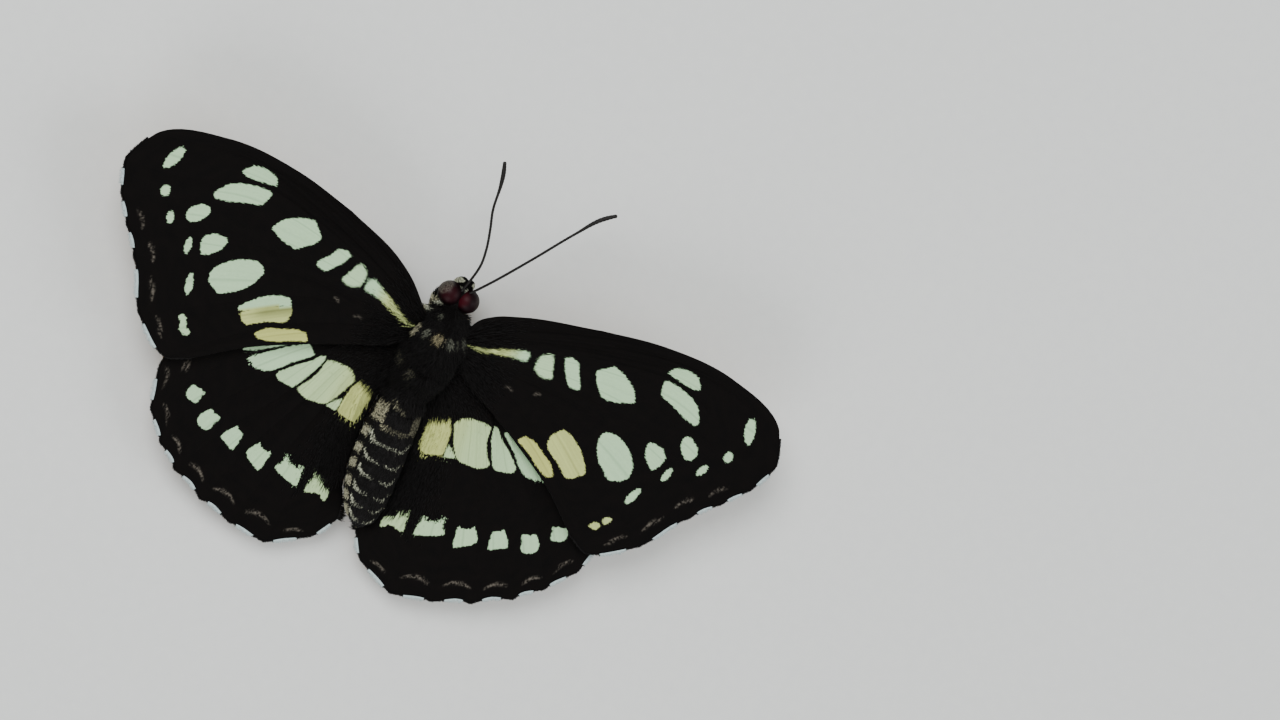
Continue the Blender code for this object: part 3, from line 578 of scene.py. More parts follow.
def wing_upper_material():
    """Scaled wing, upper side: dry black scales that swallow light, chalk-white marks with ragged edges."""
    made, tree, shader = start_material("wing_scales_upper", Roughness=0.78)
    shader.inputs["Specular IOR Level"].default_value = 0.05
    pale, warm, frayed, dull, dust = (add_node(tree, "ShaderNodeAttribute",
                                               attribute_name=key).outputs["Fac"]
                                      for key in ("pale", "warm", "frayed", "dull", "dust"))
    grain, streaks, ragged = scale_rows(tree, shader)
    teeth = add_node(tree, "ShaderNodeMath", {0: frayed, 1: 1.6, 2: 0.22},
                     operation="MULTIPLY_ADD").outputs[0]
    edge = add_node(tree, "ShaderNodeMath", {0: ragged, 1: teeth, 2: pale},
                    operation="MULTIPLY_ADD").outputs[0]
    mark = add_node(tree, "ShaderNodeMapRange", {"Value": edge, "From Min": -0.02, "From Max": 0.10},
                    interpolation_type="SMOOTHSTEP").outputs[0]
    clouds = add_node(tree, "ShaderNodeTexNoise", {"Vector": grain, "Scale": 0.9,
                                                   "Detail": 4.0}).outputs["Fac"]
    ground = add_node(tree, "ShaderNodeMix", {0: clouds, 6: colour("black"), 7: colour("brown")},
                      data_type="RGBA").outputs[2]
    # Fine folds along the grain: painted shade, deeper in the cream marks.
    folds = add_node(tree, "ShaderNodeMapping", {"Vector": grain, "Scale": (2.2, 0.06, 1.0)}).outputs[0]
    fold = add_node(tree, "ShaderNodeTexNoise", {"Vector": folds, "Scale": 1.6,
                                                 "Detail": 2.0}).outputs["Fac"]
    fold_shade_depth = add_node(tree, "ShaderNodeMapRange", {"Value": warm, "To Min": 0.96,
                                                    "To Max": 0.86}).outputs[0]
    fold_shade = add_node(tree, "ShaderNodeMapRange", {"Value": fold, "From Min": 0.38, "From Max": 0.62,
                                                      "To Min": fold_shade_depth, "To Max": 1.0}).outputs[0]
    scale_tone = add_node(tree, "ShaderNodeMapRange", {"Value": streaks, "From Min": 0.25, "From Max": 0.75,
                                                       "To Min": 0.93, "To Max": 1.03}).outputs[0]
    light = add_node(tree, "ShaderNodeMix", {0: warm, 6: colour("white"), 7: colour("cream")},
                     data_type="RGBA").outputs[2]
    # A fold runs along the middle of each space between two veins, and its shade is painted there.
    across = add_node(tree, "ShaderNodeSeparateXYZ", {0: grain}).outputs[0]
    middle = add_node(tree, "ShaderNodeMath", {0: across, 1: SPACE_WIDTH}, operation="PINGPONG").outputs[0]
    crease_shade = add_node(tree, "ShaderNodeMapRange", {"Value": middle, "From Min": SPACE_WIDTH - 0.14,
                                                   "From Max": SPACE_WIDTH, "To Min": 1.0,
                                                   "To Max": 0.80}).outputs[0]
    # Painted shade darkens the marks where it lies.
    unshaded = add_node(tree, "ShaderNodeMath", {0: 1.0, 1: dull}, operation="SUBTRACT").outputs[0]
    shade = fold_shade
    for factor in (scale_tone, crease_shade, unshaded):
        shade = add_node(tree, "ShaderNodeMath", {0: shade, 1: factor}, operation="MULTIPLY").outputs[0]
    light = add_node(tree, "ShaderNodeVectorMath", {0: light, "Scale": shade}, operation="SCALE").outputs[0]
    dusty = add_node(tree, "ShaderNodeMapRange", {"Value": streaks, "From Min": 0.42,
                                                  "From Max": 0.62}).outputs[0]
    dusty = add_node(tree, "ShaderNodeMath", {0: dusty, 1: dust}, operation="MULTIPLY").outputs[0]
    ground = add_node(tree, "ShaderNodeMix", {0: dusty, 6: ground, 7: colour("dust")},
                      data_type="RGBA").outputs[2]
    base = add_node(tree, "ShaderNodeMix", {0: mark, 6: ground, 7: light}, data_type="RGBA").outputs[2]
    tree.links.new(base, shader.inputs["Base Color"])
    return made


def wing_under_material():
    """Scaled wing, underside: matt orange ochre with the same white marks, each edged in black."""
    made, tree, shader = start_material("wing_scales_under", Roughness=0.8)
    shader.inputs["Specular IOR Level"].default_value = 0.2
    pale, dots, dust = (add_node(tree, "ShaderNodeAttribute", attribute_name=key).outputs["Fac"]
                        for key in ("pale", "dots", "dust"))
    _, streaks, ragged = scale_rows(tree, shader)
    edge = add_node(tree, "ShaderNodeMath", {0: ragged, 1: 0.4, 2: pale},
                    operation="MULTIPLY_ADD").outputs[0]
    mark = add_node(tree, "ShaderNodeMapRange", {"Value": edge, "From Min": -0.12,
                                                 "From Max": 0.0}).outputs[0]
    rim = add_node(tree, "ShaderNodeMapRange", {"Value": edge, "From Min": -0.55,
                                                "From Max": -0.4}).outputs[0]
    spot = add_node(tree, "ShaderNodeMath", {0: ragged, 1: 0.4, 2: dots},
                    operation="MULTIPLY_ADD").outputs[0]
    spot = add_node(tree, "ShaderNodeMapRange", {"Value": spot, "From Min": -0.05,
                                                 "From Max": 0.05}).outputs[0]
    tone = add_node(tree, "ShaderNodeMapRange", {"Value": streaks, "From Min": 0.25, "From Max": 0.75,
                                                 "To Min": 0.72, "To Max": 1.1}).outputs[0]
    ochre = add_node(tree, "ShaderNodeVectorMath", {0: colour("ochre")[:3], "Scale": tone},
                     operation="SCALE").outputs[0]
    ground = add_node(tree, "ShaderNodeMix", {0: dust, 6: ochre, 7: colour("white")},
                      data_type="RGBA").outputs[2]
    dark = add_node(tree, "ShaderNodeMath", {0: rim, 1: spot}, operation="MAXIMUM").outputs[0]
    ground = add_node(tree, "ShaderNodeMix", {0: dark, 6: ground, 7: colour("brown")},
                      data_type="RGBA").outputs[2]
    base = add_node(tree, "ShaderNodeMix", {0: mark, 6: ground, 7: colour("white")},
                    data_type="RGBA").outputs[2]
    tree.links.new(base, shader.inputs["Base Color"])
    return made


def coat_material(name, rough, worn=0.42, pale_colours=("pearl", "sand"), speckled=1.0):
    """Hair and scales: dry black hair with a faint sheen, and chalky pale hair in the marks."""
    made, tree, shader = start_material(name, Roughness=rough)
    shader.inputs["Specular IOR Level"].default_value = 0.12
    pale, warm, faded = (add_node(tree, "ShaderNodeAttribute", attribute_name=key).outputs["Fac"]
                         for key in ("pale", "warm", "faded"))
    place = add_node(tree, "ShaderNodeTexCoord").outputs["Object"]
    # Neighbouring hairs differ over about 0.15 mm.
    mottle = add_node(tree, "ShaderNodeTexNoise", {"Vector": place, "Scale": 0.9 / (0.15 * MM),
                                                   "Detail": 2.0}).outputs["Fac"]
    shift = add_node(tree, "ShaderNodeMath", {0: mottle, 1: 0.5}, operation="SUBTRACT").outputs[0]
    edge = add_node(tree, "ShaderNodeMath", {0: shift, 1: 0.55, 2: pale},
                    operation="MULTIPLY_ADD").outputs[0]
    mark = add_node(tree, "ShaderNodeMapRange", {"Value": edge, "From Min": -0.03,
                                                 "From Max": 0.05}).outputs[0]
    ground = add_node(tree, "ShaderNodeMix", {0: mottle, 6: colour("black"), 7: colour("brown")},
                      data_type="RGBA").outputs[2]
    light = add_node(tree, "ShaderNodeMix", {0: warm, 6: colour(pale_colours[0]),
                                             7: colour(pale_colours[1])},
                     data_type="RGBA").outputs[2]
    lit = add_node(tree, "ShaderNodeMapRange", {"Value": mottle, "From Min": 0.3, "From Max": 0.65,
                                                "To Min": worn, "To Max": 0.97}).outputs[0]
    # Marks are dimmed where they are faded, and on the abdomen's right by painted shade.
    kept = add_node(tree, "ShaderNodeMath", {0: 1.0, 1: faded}, operation="SUBTRACT").outputs[0]
    # Single pale scales, 0.1 mm apart, catch more light than their neighbours.
    specks = add_node(tree, "ShaderNodeTexNoise", {"Vector": place, "Scale": 1 / (0.1 * MM),
                                                   "Detail": 1.0}).outputs[0]
    specks = add_node(tree, "ShaderNodeMapRange", {"Value": specks, "From Min": 0.35, "From Max": 0.65,
                                                   "To Min": 1.0 - 0.5 * speckled,
                                                   "To Max": 1.0 + 0.25 * speckled}).outputs[0]
    for factor in (kept, specks):
        lit = add_node(tree, "ShaderNodeMath", {0: lit, 1: factor}, operation="MULTIPLY").outputs[0]
    light = add_node(tree, "ShaderNodeVectorMath", {0: light, "Scale": lit}, operation="SCALE").outputs[0]
    base = add_node(tree, "ShaderNodeMix", {0: mark, 6: ground, 7: light}, data_type="RGBA").outputs[2]
    tree.links.new(base, shader.inputs["Base Color"])
    fine = add_node(tree, "ShaderNodeTexNoise", {"Vector": place, "Scale": 9000.0,
                                                 "Detail": 2.0}).outputs["Fac"]
    relief = add_node(tree, "ShaderNodeBump", {"Height": fine, "Strength": 0.3,
                                               "Distance": 0.03 * MM}).outputs[0]
    tree.links.new(relief, shader.inputs["Normal"])
    return made


def eye_material():
    """Compound eye: satin dome of fine facets, nearly black, with a painted red highlight and grey
    reflection.
    """
    made, tree, shader = start_material("eye_facets", Roughness=0.46)
    shader.inputs["Specular IOR Level"].default_value = 0.08
    place = add_node(tree, "ShaderNodeTexCoord").outputs["Object"]
    glow = add_node(tree, "ShaderNodeAttribute", attribute_name="glow").outputs["Fac"]
    # Real facets are 0.03 mm wide; these are 0.07 mm so that they show.
    facets = add_node(tree, "ShaderNodeTexVoronoi", {"Vector": place, "Scale": 1 / (0.07 * MM),
                                                     "Randomness": 0.15}).outputs[0]
    relief = add_node(tree, "ShaderNodeBump", {"Height": facets, "Strength": 0.25, "Distance": 0.02 * MM},
                      invert=True).outputs[0]
    tree.links.new(relief, shader.inputs["Normal"])
    clouds = add_node(tree, "ShaderNodeTexNoise", {"Vector": place, "Scale": 900.0,
                                                   "Detail": 3.0}).outputs["Fac"]
    tint = add_node(tree, "ShaderNodeMix", {0: clouds, 6: (*linear("#080203"), 1.0),
                                            7: (*linear("#16060A"), 1.0)},
                    data_type="RGBA").outputs[2]
    # Painted highlight: the dark red shows only on the side set for each eye.
    base = add_node(tree, "ShaderNodeMix", {0: glow, 6: tint, 7: colour("eye")},
                    data_type="RGBA").outputs[2]
    # Painted reflection: speckled grey on the side set for each eye.
    bloom = add_node(tree, "ShaderNodeAttribute", attribute_name="bloom").outputs["Fac"]
    specks = add_node(tree, "ShaderNodeTexNoise", {"Vector": place, "Scale": 11000.0,
                                                   "Detail": 1.0}).outputs["Fac"]
    specks = add_node(tree, "ShaderNodeMapRange", {"Value": specks, "From Min": 0.30,
                                                   "From Max": 0.75}).outputs[0]
    bloom = add_node(tree, "ShaderNodeMath", {0: bloom, 1: specks}, operation="MULTIPLY").outputs[0]
    base = add_node(tree, "ShaderNodeMix", {0: bloom, 6: base, 7: colour("dust")},
                    data_type="RGBA").outputs[2]
    tree.links.new(base, shader.inputs["Base Color"])
    return made


def horn_material():
    """Insect horn: smooth dark brown-black cuticle with a waxy shine and faint cross rings."""
    made, tree, shader = start_material("horn_cuticle", Roughness=0.55)
    shader.inputs["Specular IOR Level"].default_value = 0.2
    place = add_node(tree, "ShaderNodeTexCoord").outputs["Object"]
    clouds = add_node(tree, "ShaderNodeTexNoise", {"Vector": place, "Scale": 1600.0,
                                                   "Detail": 4.0}).outputs["Fac"]
    base = add_node(tree, "ShaderNodeMix", {0: clouds, 6: colour("black"), 7: colour("horn")},
                    data_type="RGBA").outputs[2]
    tree.links.new(base, shader.inputs["Base Color"])
    relief = add_node(tree, "ShaderNodeBump", {"Height": clouds, "Strength": 0.3,
                                               "Distance": 0.04 * MM}).outputs[0]
    tree.links.new(relief, shader.inputs["Normal"])
    return made


# Wings.


def sheet_height(out, fore):
    """Height of the sheet on which the forewings lie."""
    reach, behind = np.maximum(0.0, out - WING_ROOT_OUT), np.maximum(0.0, -fore)
    return (HINGE_HEIGHT + math.tan(DIHEDRAL) * reach - TIP_SAG * (reach / WING_REACH) ** 2
            - REAR_FALL * behind - REAR_BEND * behind**2)


def body_wall(side, fore):
    """How far out the abdomen's flank reaches on one side. Nothing ahead of it."""
    stations, halves = zip(*ABDOMEN_HALF)
    y = np.clip(-fore, stations[0], stations[-1])
    bend = -ABDOMEN_BEND * np.maximum(0.0, (y - ABDOMEN_START) / (ABDOMEN_END - ABDOMEN_START)) ** 2
    return np.interp(y, stations, halves) + side * bend + WALL_CLEAR - WALL_RAMP * np.abs(-fore - y)


def forewing_place(side, out, fore):
    return np.stack([side * out, -fore, sheet_height(out, fore)], -1)


def hindwing_place(side, out, fore):
    """Turns the wing to its side's spread and folds what would meet the abdomen down beside it."""
    out, fore = turned(out, fore, HINDWING_SPREAD[side])
    height = sheet_height(out, fore) - HINDWING_DROP
    wall = body_wall(side, fore)
    clear = (out - wall) / WALL_SOFT
    soft = wall + WALL_SOFT * np.log1p(np.exp(np.minimum(clear, WALL_FAR)))
    kept = np.where(clear > WALL_FAR, out, soft)
    return np.stack([side * kept, -fore, height - FOLD_DOWN * (kept - out)], -1)


def turned(out, fore, turn):
    o, f = out - HINDWING_HINGE[0], fore - HINDWING_HINGE[1]
    return (HINDWING_HINGE[0] + o * math.cos(turn) - f * math.sin(turn),
            HINDWING_HINGE[1] + o * math.sin(turn) + f * math.cos(turn))


def hindwing_lines():
    """The hindwing's lines as (out, fore) points, each with its own root point on the hinge."""
    lines = {}
    for k, (name, (polar, start)) in enumerate(HINDWING.items()):
        points = [(HINDWING_ROOT_OUT, HINDWING_ROOT_FORE - k * HINDWING_ROOT_STEP)]
        for degrees, radius in polar:
            turn = math.radians(degrees)
            points.append((HINDWING_HINGE[0] + radius * math.cos(turn),
                           HINDWING_HINGE[1] + radius * math.sin(turn)))
        lines[name] = (points, start)
    return lines


def wing_columns(lines, scallop):
    """A fine grid of (out, fore) places, columns from front to back and rows from root to margin."""
    names = list(lines)
    rows = np.linspace(0.0, 1.0, WING_ROWS)
    tips = np.array([lines[n][0][-1] for n in names], float)
    heart = tips.mean(0)
    lengths = np.concatenate([[0.0], np.cumsum(np.linalg.norm(np.diff(tips, axis=0), axis=1))])
    drawn = {n: curve(lines[n][0], rows) for n in names}
    columns, places = [], []
    for i, name in enumerate(names):
        last = i == len(names) - 1
        for share in COLUMN_SHARES[:1] if last else COLUMN_SHARES:
            here = drawn[name]
            if share > 0.0:
                flat = tips[i] + share * (tips[i + 1] - tips[i])
                along = (lengths[i] + share * (lengths[i + 1] - lengths[i])) / lengths[-1]
                edge = curve(tips, [along])[0]
                inward = (heart - flat) / np.linalg.norm(heart - flat)
                edge = edge + inward * scallop.get(name, 0.0) * math.sin(math.pi * share)
                here = here + share * (drawn[names[i + 1]] - here) + rows[:,
                                                                          None] ** MARGIN_PULL * (edge - flat)
            columns.append(here)
            places.append(i + share)
    return np.array(columns), np.array(places), drawn


def vein_distance(flat, lines, drawn):
    """Distance from each place to the nearest vein, with the vein's own taper there."""
    nearest = np.full(len(flat), 9.0)
    share = np.zeros(len(flat))
    rows = np.linspace(0.0, 1.0, WING_ROWS)
    for name in list(lines)[1:-1]:
        keep = rows >= lines[name][1]
        vein, at = drawn[name][keep][::2], rows[keep][::2]
        gap = np.linalg.norm(flat[:, None, :] - vein[None], axis=-1)
        which = gap.argmin(1)
        closer = gap.min(1) < nearest
        nearest = np.where(closer, gap.min(1), nearest)
        share = np.where(closer, at[which], share)
    return nearest, share


def surface_up(place, side, out, fore):
    """Upward normal of a wing's sheet."""
    centre = place(side, out, fore)
    up = unit(np.cross(place(side, out + SLOPE_STEP, fore) - centre,
                       place(side, out, fore + SLOPE_STEP) - centre))
    return up * np.where(up[:, 2:] < 0, -1.0, 1.0)


def wing_marks(kind, side, flat):
    """Depth in the pale marks, how cream and ragged they are, the painted shade on them, the dusting and the
    underside's dots.
    """
    if kind == "forewing":
        marks, dust, back = FOREWING_MARKS, FOREWING_DUST, 0.0
        outlines = [rounded(o) for _, o in marks.values()] + [oval(*s[1:]) for s in FOREWING_SPOTS]
        creams = [c for c, _ in marks.values()] + [s[0] for s in FOREWING_SPOTS]
        # On the right the rear white mark is painted cream as shade of the hindwing beneath it; the two
        # rearmost spots are made creamier.
        if side == RIGHT:
            creams[list(marks).index("rear_white")] = 0.85
            creams[-2:] = (0.7, 0.8)
        at_root, at_end, thin, short = STREAK_MOVE[side]
        streak = rounded(marks["cell_streak"][1])
        middle = 0.10 + 0.20 * (streak[:, 0] - 2.7)
        streak[:, 1] = (middle + (streak[:, 1] - middle) * thin + at_root * ramp(streak[:, 0], 8.5, 2.5)
                        + at_end * ramp(streak[:, 0], 2.5, 8.5))
        streak[:, 0] = 2.5 + short * (streak[:, 0] - 2.7)
        outlines[list(marks).index("cell_streak")] = streak
        dots = ((5.2, 1.9), (6.6, 0.4), (8.6, 2.4), (9.0, 0.2), (4.2, 0.4), (12.4, 0.4))
    else:
        marks, dust, back = HINDWING_MARKS, HINDWING_DUST, -HINDWING_SPREAD[LEFT]
        outlines, creams = [rounded(o) for _, o in marks.values()], [c for c, _ in marks.values()]
        dots = ((6.2, -4.6), (7.8, -5.2), (5.4, -6.4), (4.4, -5.2), (7.0, -11.9), (10.0, -11.6),
                (12.9, -11.2))

    def placed(outline, name=""):
        more = INNER_MARKS_BACK * (side == RIGHT and not name.startswith("outer"))
        return outline if kind == "forewing" else np.stack(turned(outline[:, 0], outline[:, 1],
                                                                  back - more), 1)

    names = list(marks) + [""] * (len(outlines) - len(marks))
    out, fore = flat[:, 0], flat[:, 1]
    lift = (kind == "forewing") * (side == LEFT) * ramp(out, 12.5, 15.5) * ramp(out, 29.0, 26.0)
    lift = lift * (1 - ramp(out, 18.5, 20.0) * ramp(fore, 1.6, 2.4))
    seen = flat - np.stack([0.15 * lift, 0.28 * lift], 1)
    pale, warm = deepest(seen, [placed(o, n) for o, n in zip(outlines, names)], creams)
    dusty, _ = deepest(flat, [placed(crescent(*d), "outer") for d in dust], [0] * len(dust))
    dotted, _ = deepest(flat, [placed(oval(d, 0.75, 0.6, 20)) for d in dots], [0] * len(dots))
    if kind == "forewing":
        pale = pale - 0.08 * ramp(out, 9.5, 10.5)
        warm = np.where((out < 8.8) & (fore > -1.0), 0.75 * ramp(out, 7.8, 5.8), warm)
        frayed = 0.15 + 0.5 * ramp(out, 12.0, 9.5) * ramp(fore, -1.0, 0.0)
        # A band of painted shade runs along the top of the left forewing's rear cream mark.
        under = (fore + 4.2 + 0.6 * (out - 14.5)) / 1.17
        dull = 0.5 * (side == LEFT) * hump(under, 0.5) * ramp(out, 17.2, 15.5) * ramp(out, 12.6,
                                                                                      13.4) * (warm > 0.5)
    else:
        reach = np.hypot(out - HINDWING_HINGE[0], fore - HINDWING_HINGE[1])
        frayed = 0.1 + 0.9 * hump(reach - OUTER_MARKS_INNER_EDGE, 0.9)
        dull = 0 * out
        warm = warm * (1 - 0.4 * ramp(out, 5.0, 7.6))
        pale = pale - 0.06 * ramp(reach, 11.5, 12.5)
    return pale, warm, frayed, dull, ramp(dusty, -0.12, 0.06), dotted


def wing(kind, side, lines, scallop, place, materials):
    """One wing: a thin pleated membrane with tapering veins, its marks carried as attributes."""
    columns, column_places, drawn = wing_columns(lines, scallop)
    count, rows = len(columns), WING_ROWS
    flat = columns.reshape(-1, 2)
    out, fore = flat[:, 0], flat[:, 1]
    along = np.tile(np.linspace(0, 1, rows), count)
    across = np.repeat(column_places, rows)
    near, taper = vein_distance(flat, lines, drawn)
    pale, warm, frayed, dull, dusty, dotted = wing_marks(kind, side, flat)
    vein = sizes().vein / MM * (1 - 0.72 * taper) * hump(near, 0.15 - 0.06 * taper)
    pleat = 0.10 * np.cos(2 * math.pi * across) * ramp(along, 0.1, 0.5) * (1 - 0.6 * along)
    up = surface_up(place, side, out, fore)
    centre = place(side, out, fore) + up * pleat[:, None]
    half = sizes().membrane / MM / 2
    points = np.concatenate([centre + up * (half + vein)[:, None],
                             centre - up * (half + 0.7 * vein)[:, None]])
    total = count * rows
    quads = grid_faces(count, rows)
    rim = np.concatenate([np.arange(count) * rows, (count - 1) * rows + np.arange(1, rows),
                          np.arange(count - 2, -1, -1) * rows + rows - 1, np.arange(rows - 2, 0, -1)])
    following = np.roll(rim, -1)
    walls = np.stack([rim, following, following + total, rim + total], 1)
    faces = np.concatenate([quads, quads[:, ::-1] + total, walls])
    indices = np.concatenate([np.zeros(len(quads)), np.ones(len(quads)), np.zeros(len(walls))])
    grain = np.stack([across * 2 * SPACE_WIDTH, along * GRAIN_LENGTH, np.zeros(total)], 1)
    lie = unit(np.gradient(centre.reshape(count, rows, 3), axis=1).reshape(-1, 3))
    if kind == "forewing":
        length = 0.9 * ramp(out, 9.0, 2.0) + 0.25
        growth = ramp(out, 8.5, 3.0) * (0.35 + 0.65 * ramp(fore, 1.0, -1.5)) * ramp(across, 0.15, 0.7)
        growth *= 1 - 0.9 * dusty
    else:
        inner = ramp(across, 6.2, 8.2)
        length = (0.45 + 0.6 * inner) * (1 - 0.55 * ramp(pale, -0.15, 0.1))
        from_hinge = np.hypot(out - HINDWING_HINGE[0], fore - HINDWING_HINGE[1])
        growth = np.maximum(ramp(from_hinge, 8.0, 3.0) * 0.8, inner * ramp(along, 0.80, 0.60))
        growth *= 1 - 0.8 * ramp(pale, -0.1, 0.2) * ramp(across, 8.8, 8.2)
    top_only = np.concatenate([growth, np.zeros(total)])
    twice = lambda value: np.concatenate([value, value])
    values = {"pale": twice(np.clip(pale, -2, 2)), "warm": twice(warm), "frayed": twice(frayed),
              "dull": twice(dull), "dust": twice(dusty), "dots": twice(dotted),
              "grain": twice(grain), "growth": top_only, "reach": twice(length), "comb": twice(lie)}
    obj = add_mesh(f"{kind}_{SIDE_NAMES[side]}_scaled", points, faces, materials, values, indices)
    low, high = flat.min(0) - 0.6, flat.max(0) + 0.6
    chart = (flat - low) / (high - low) * np.array([1.0, 0.5])
    add_uv(obj, "OFBake", np.concatenate([chart + (0.0, 0.5), chart]))
    tail = {"columns": column_places, "grid": columns, "chart": chart.reshape(count, rows, 2) + (0.0, 0.5),
            "lines": list(lines)}
    return obj, tail


def margin_rows(kind, side, place, tail):
    """Where the fringe grows: the outer margin from front to back, then the hindwing's inner margin."""
    grid, chart, shares = tail["grid"], tail["chart"], tail["columns"]
    first = 3.2 if kind == "forewing" else 0.6
    outer = shares >= first
    spots, charts, space = grid[outer, -1], chart[outer, -1], shares[outer]
    inner_rows = np.arange(WING_ROWS - 2, int(WING_ROWS * (0.35 if kind == "forewing" else 0.25)), -1)
    spots = np.concatenate([spots, grid[-1, inner_rows]])
    charts = np.concatenate([charts, chart[-1, inner_rows]])
    space = np.concatenate([space, np.full(len(inner_rows), INNER_MARGIN)])
    gone = np.concatenate([[0.0], np.cumsum(np.linalg.norm(np.diff(spots, axis=0), axis=1))])
    steps = np.arange(0.0, gone[-1], FRINGE_STEP)
    spot = np.stack([np.interp(steps, gone, spots[:, k]) for k in (0, 1)], 1)
    root = np.stack([np.interp(steps, gone, charts[:, k]) for k in (0, 1)], 1)
    share = np.interp(steps, gone, space)
    ahead = unit(np.gradient(spot, axis=0))
    aside = np.stack([ahead[:, 1], -ahead[:, 0]], 1)
    middle = grid.reshape(-1, 2).mean(0)
    aside *= np.where(((spot - middle) * aside).sum(1) < 0, -1.0, 1.0)[:, None]
    here = place(side, spot[:, 0], spot[:, 1])
    there = place(side, spot[:, 0] + 0.05 * aside[:, 0], spot[:, 1] + 0.05 * aside[:, 1])
    out_way = unit(there - here)
    up = surface_up(place, side, spot[:, 0], spot[:, 1])
    within = share % 1.0
    last = len(tail["lines"]) - 1.0
    on_outer = share <= last
    lobe = np.where(on_outer, ramp(np.abs(within - 0.5), 0.33, 0.17), 0.0)
    if kind == "forewing":
        lobe *= ramp(share, 4.1, 4.4) * ramp(share, 9.0, 8.6)
    pale = np.where(on_outer, lobe - 0.5, -0.5)
    length = np.where(on_outer, 0.7 + 0.85 * lobe, 0.3 if kind == "forewing" else 3.0)
    return here, out_way, up, pale, length, root


# Tufts and scales.


def tuft_shape():
    """One tapering three-sided lock, a unit long, that carries its own height and small UV patch."""
    rings = ((0.0, 0.75), (0.35, 1.0), (0.72, 0.62))
    corners = ((0.32, 0.0), (-0.16, 0.5), (-0.16, -0.5))
    points = [(x * wide, y * wide, z) for z, wide in rings for x, y in corners] + [(0.0, 0.0, 1.0)]
    faces = [(0, 2, 1)]
    for r in range(2):
        for s in range(3):
            a, b = r * 3 + s, r * 3 + (s + 1) % 3
            faces.append((a, b, b + 3, a + 3))
    faces += [(6 + s, 6 + (s + 1) % 3, 9) for s in range(3)]
    made = bpy.data.meshes.new("tuft_shape")
    made.from_pydata(points, [], faces)
    put_attributes(made, {"height": [p[2] for p in points],
                          "patch": [(p[1], p[2] - 0.5, 0.0) for p in points]})
    made.shade_smooth()
    return put_in_scene("tuft_shape", made)


TREE_INPUTS = (
    ("Geometry", "NodeSocketGeometry", None), ("Tuft", "NodeSocketObject", None),
    ("Material", "NodeSocketMaterial", None), ("Growth", "NodeSocketString", "growth"),
    ("Density", "NodeSocketFloat", 60e6), ("Length", "NodeSocketFloat", 0.001),
    ("Width", "NodeSocketFloat", 0.0001), ("Lift", "NodeSocketFloat", 0.4),
    ("Stray", "NodeSocketFloat", 0.25),
    ("Curl", "NodeSocketFloat", 0.2), ("Seed", "NodeSocketInt", 1),
)


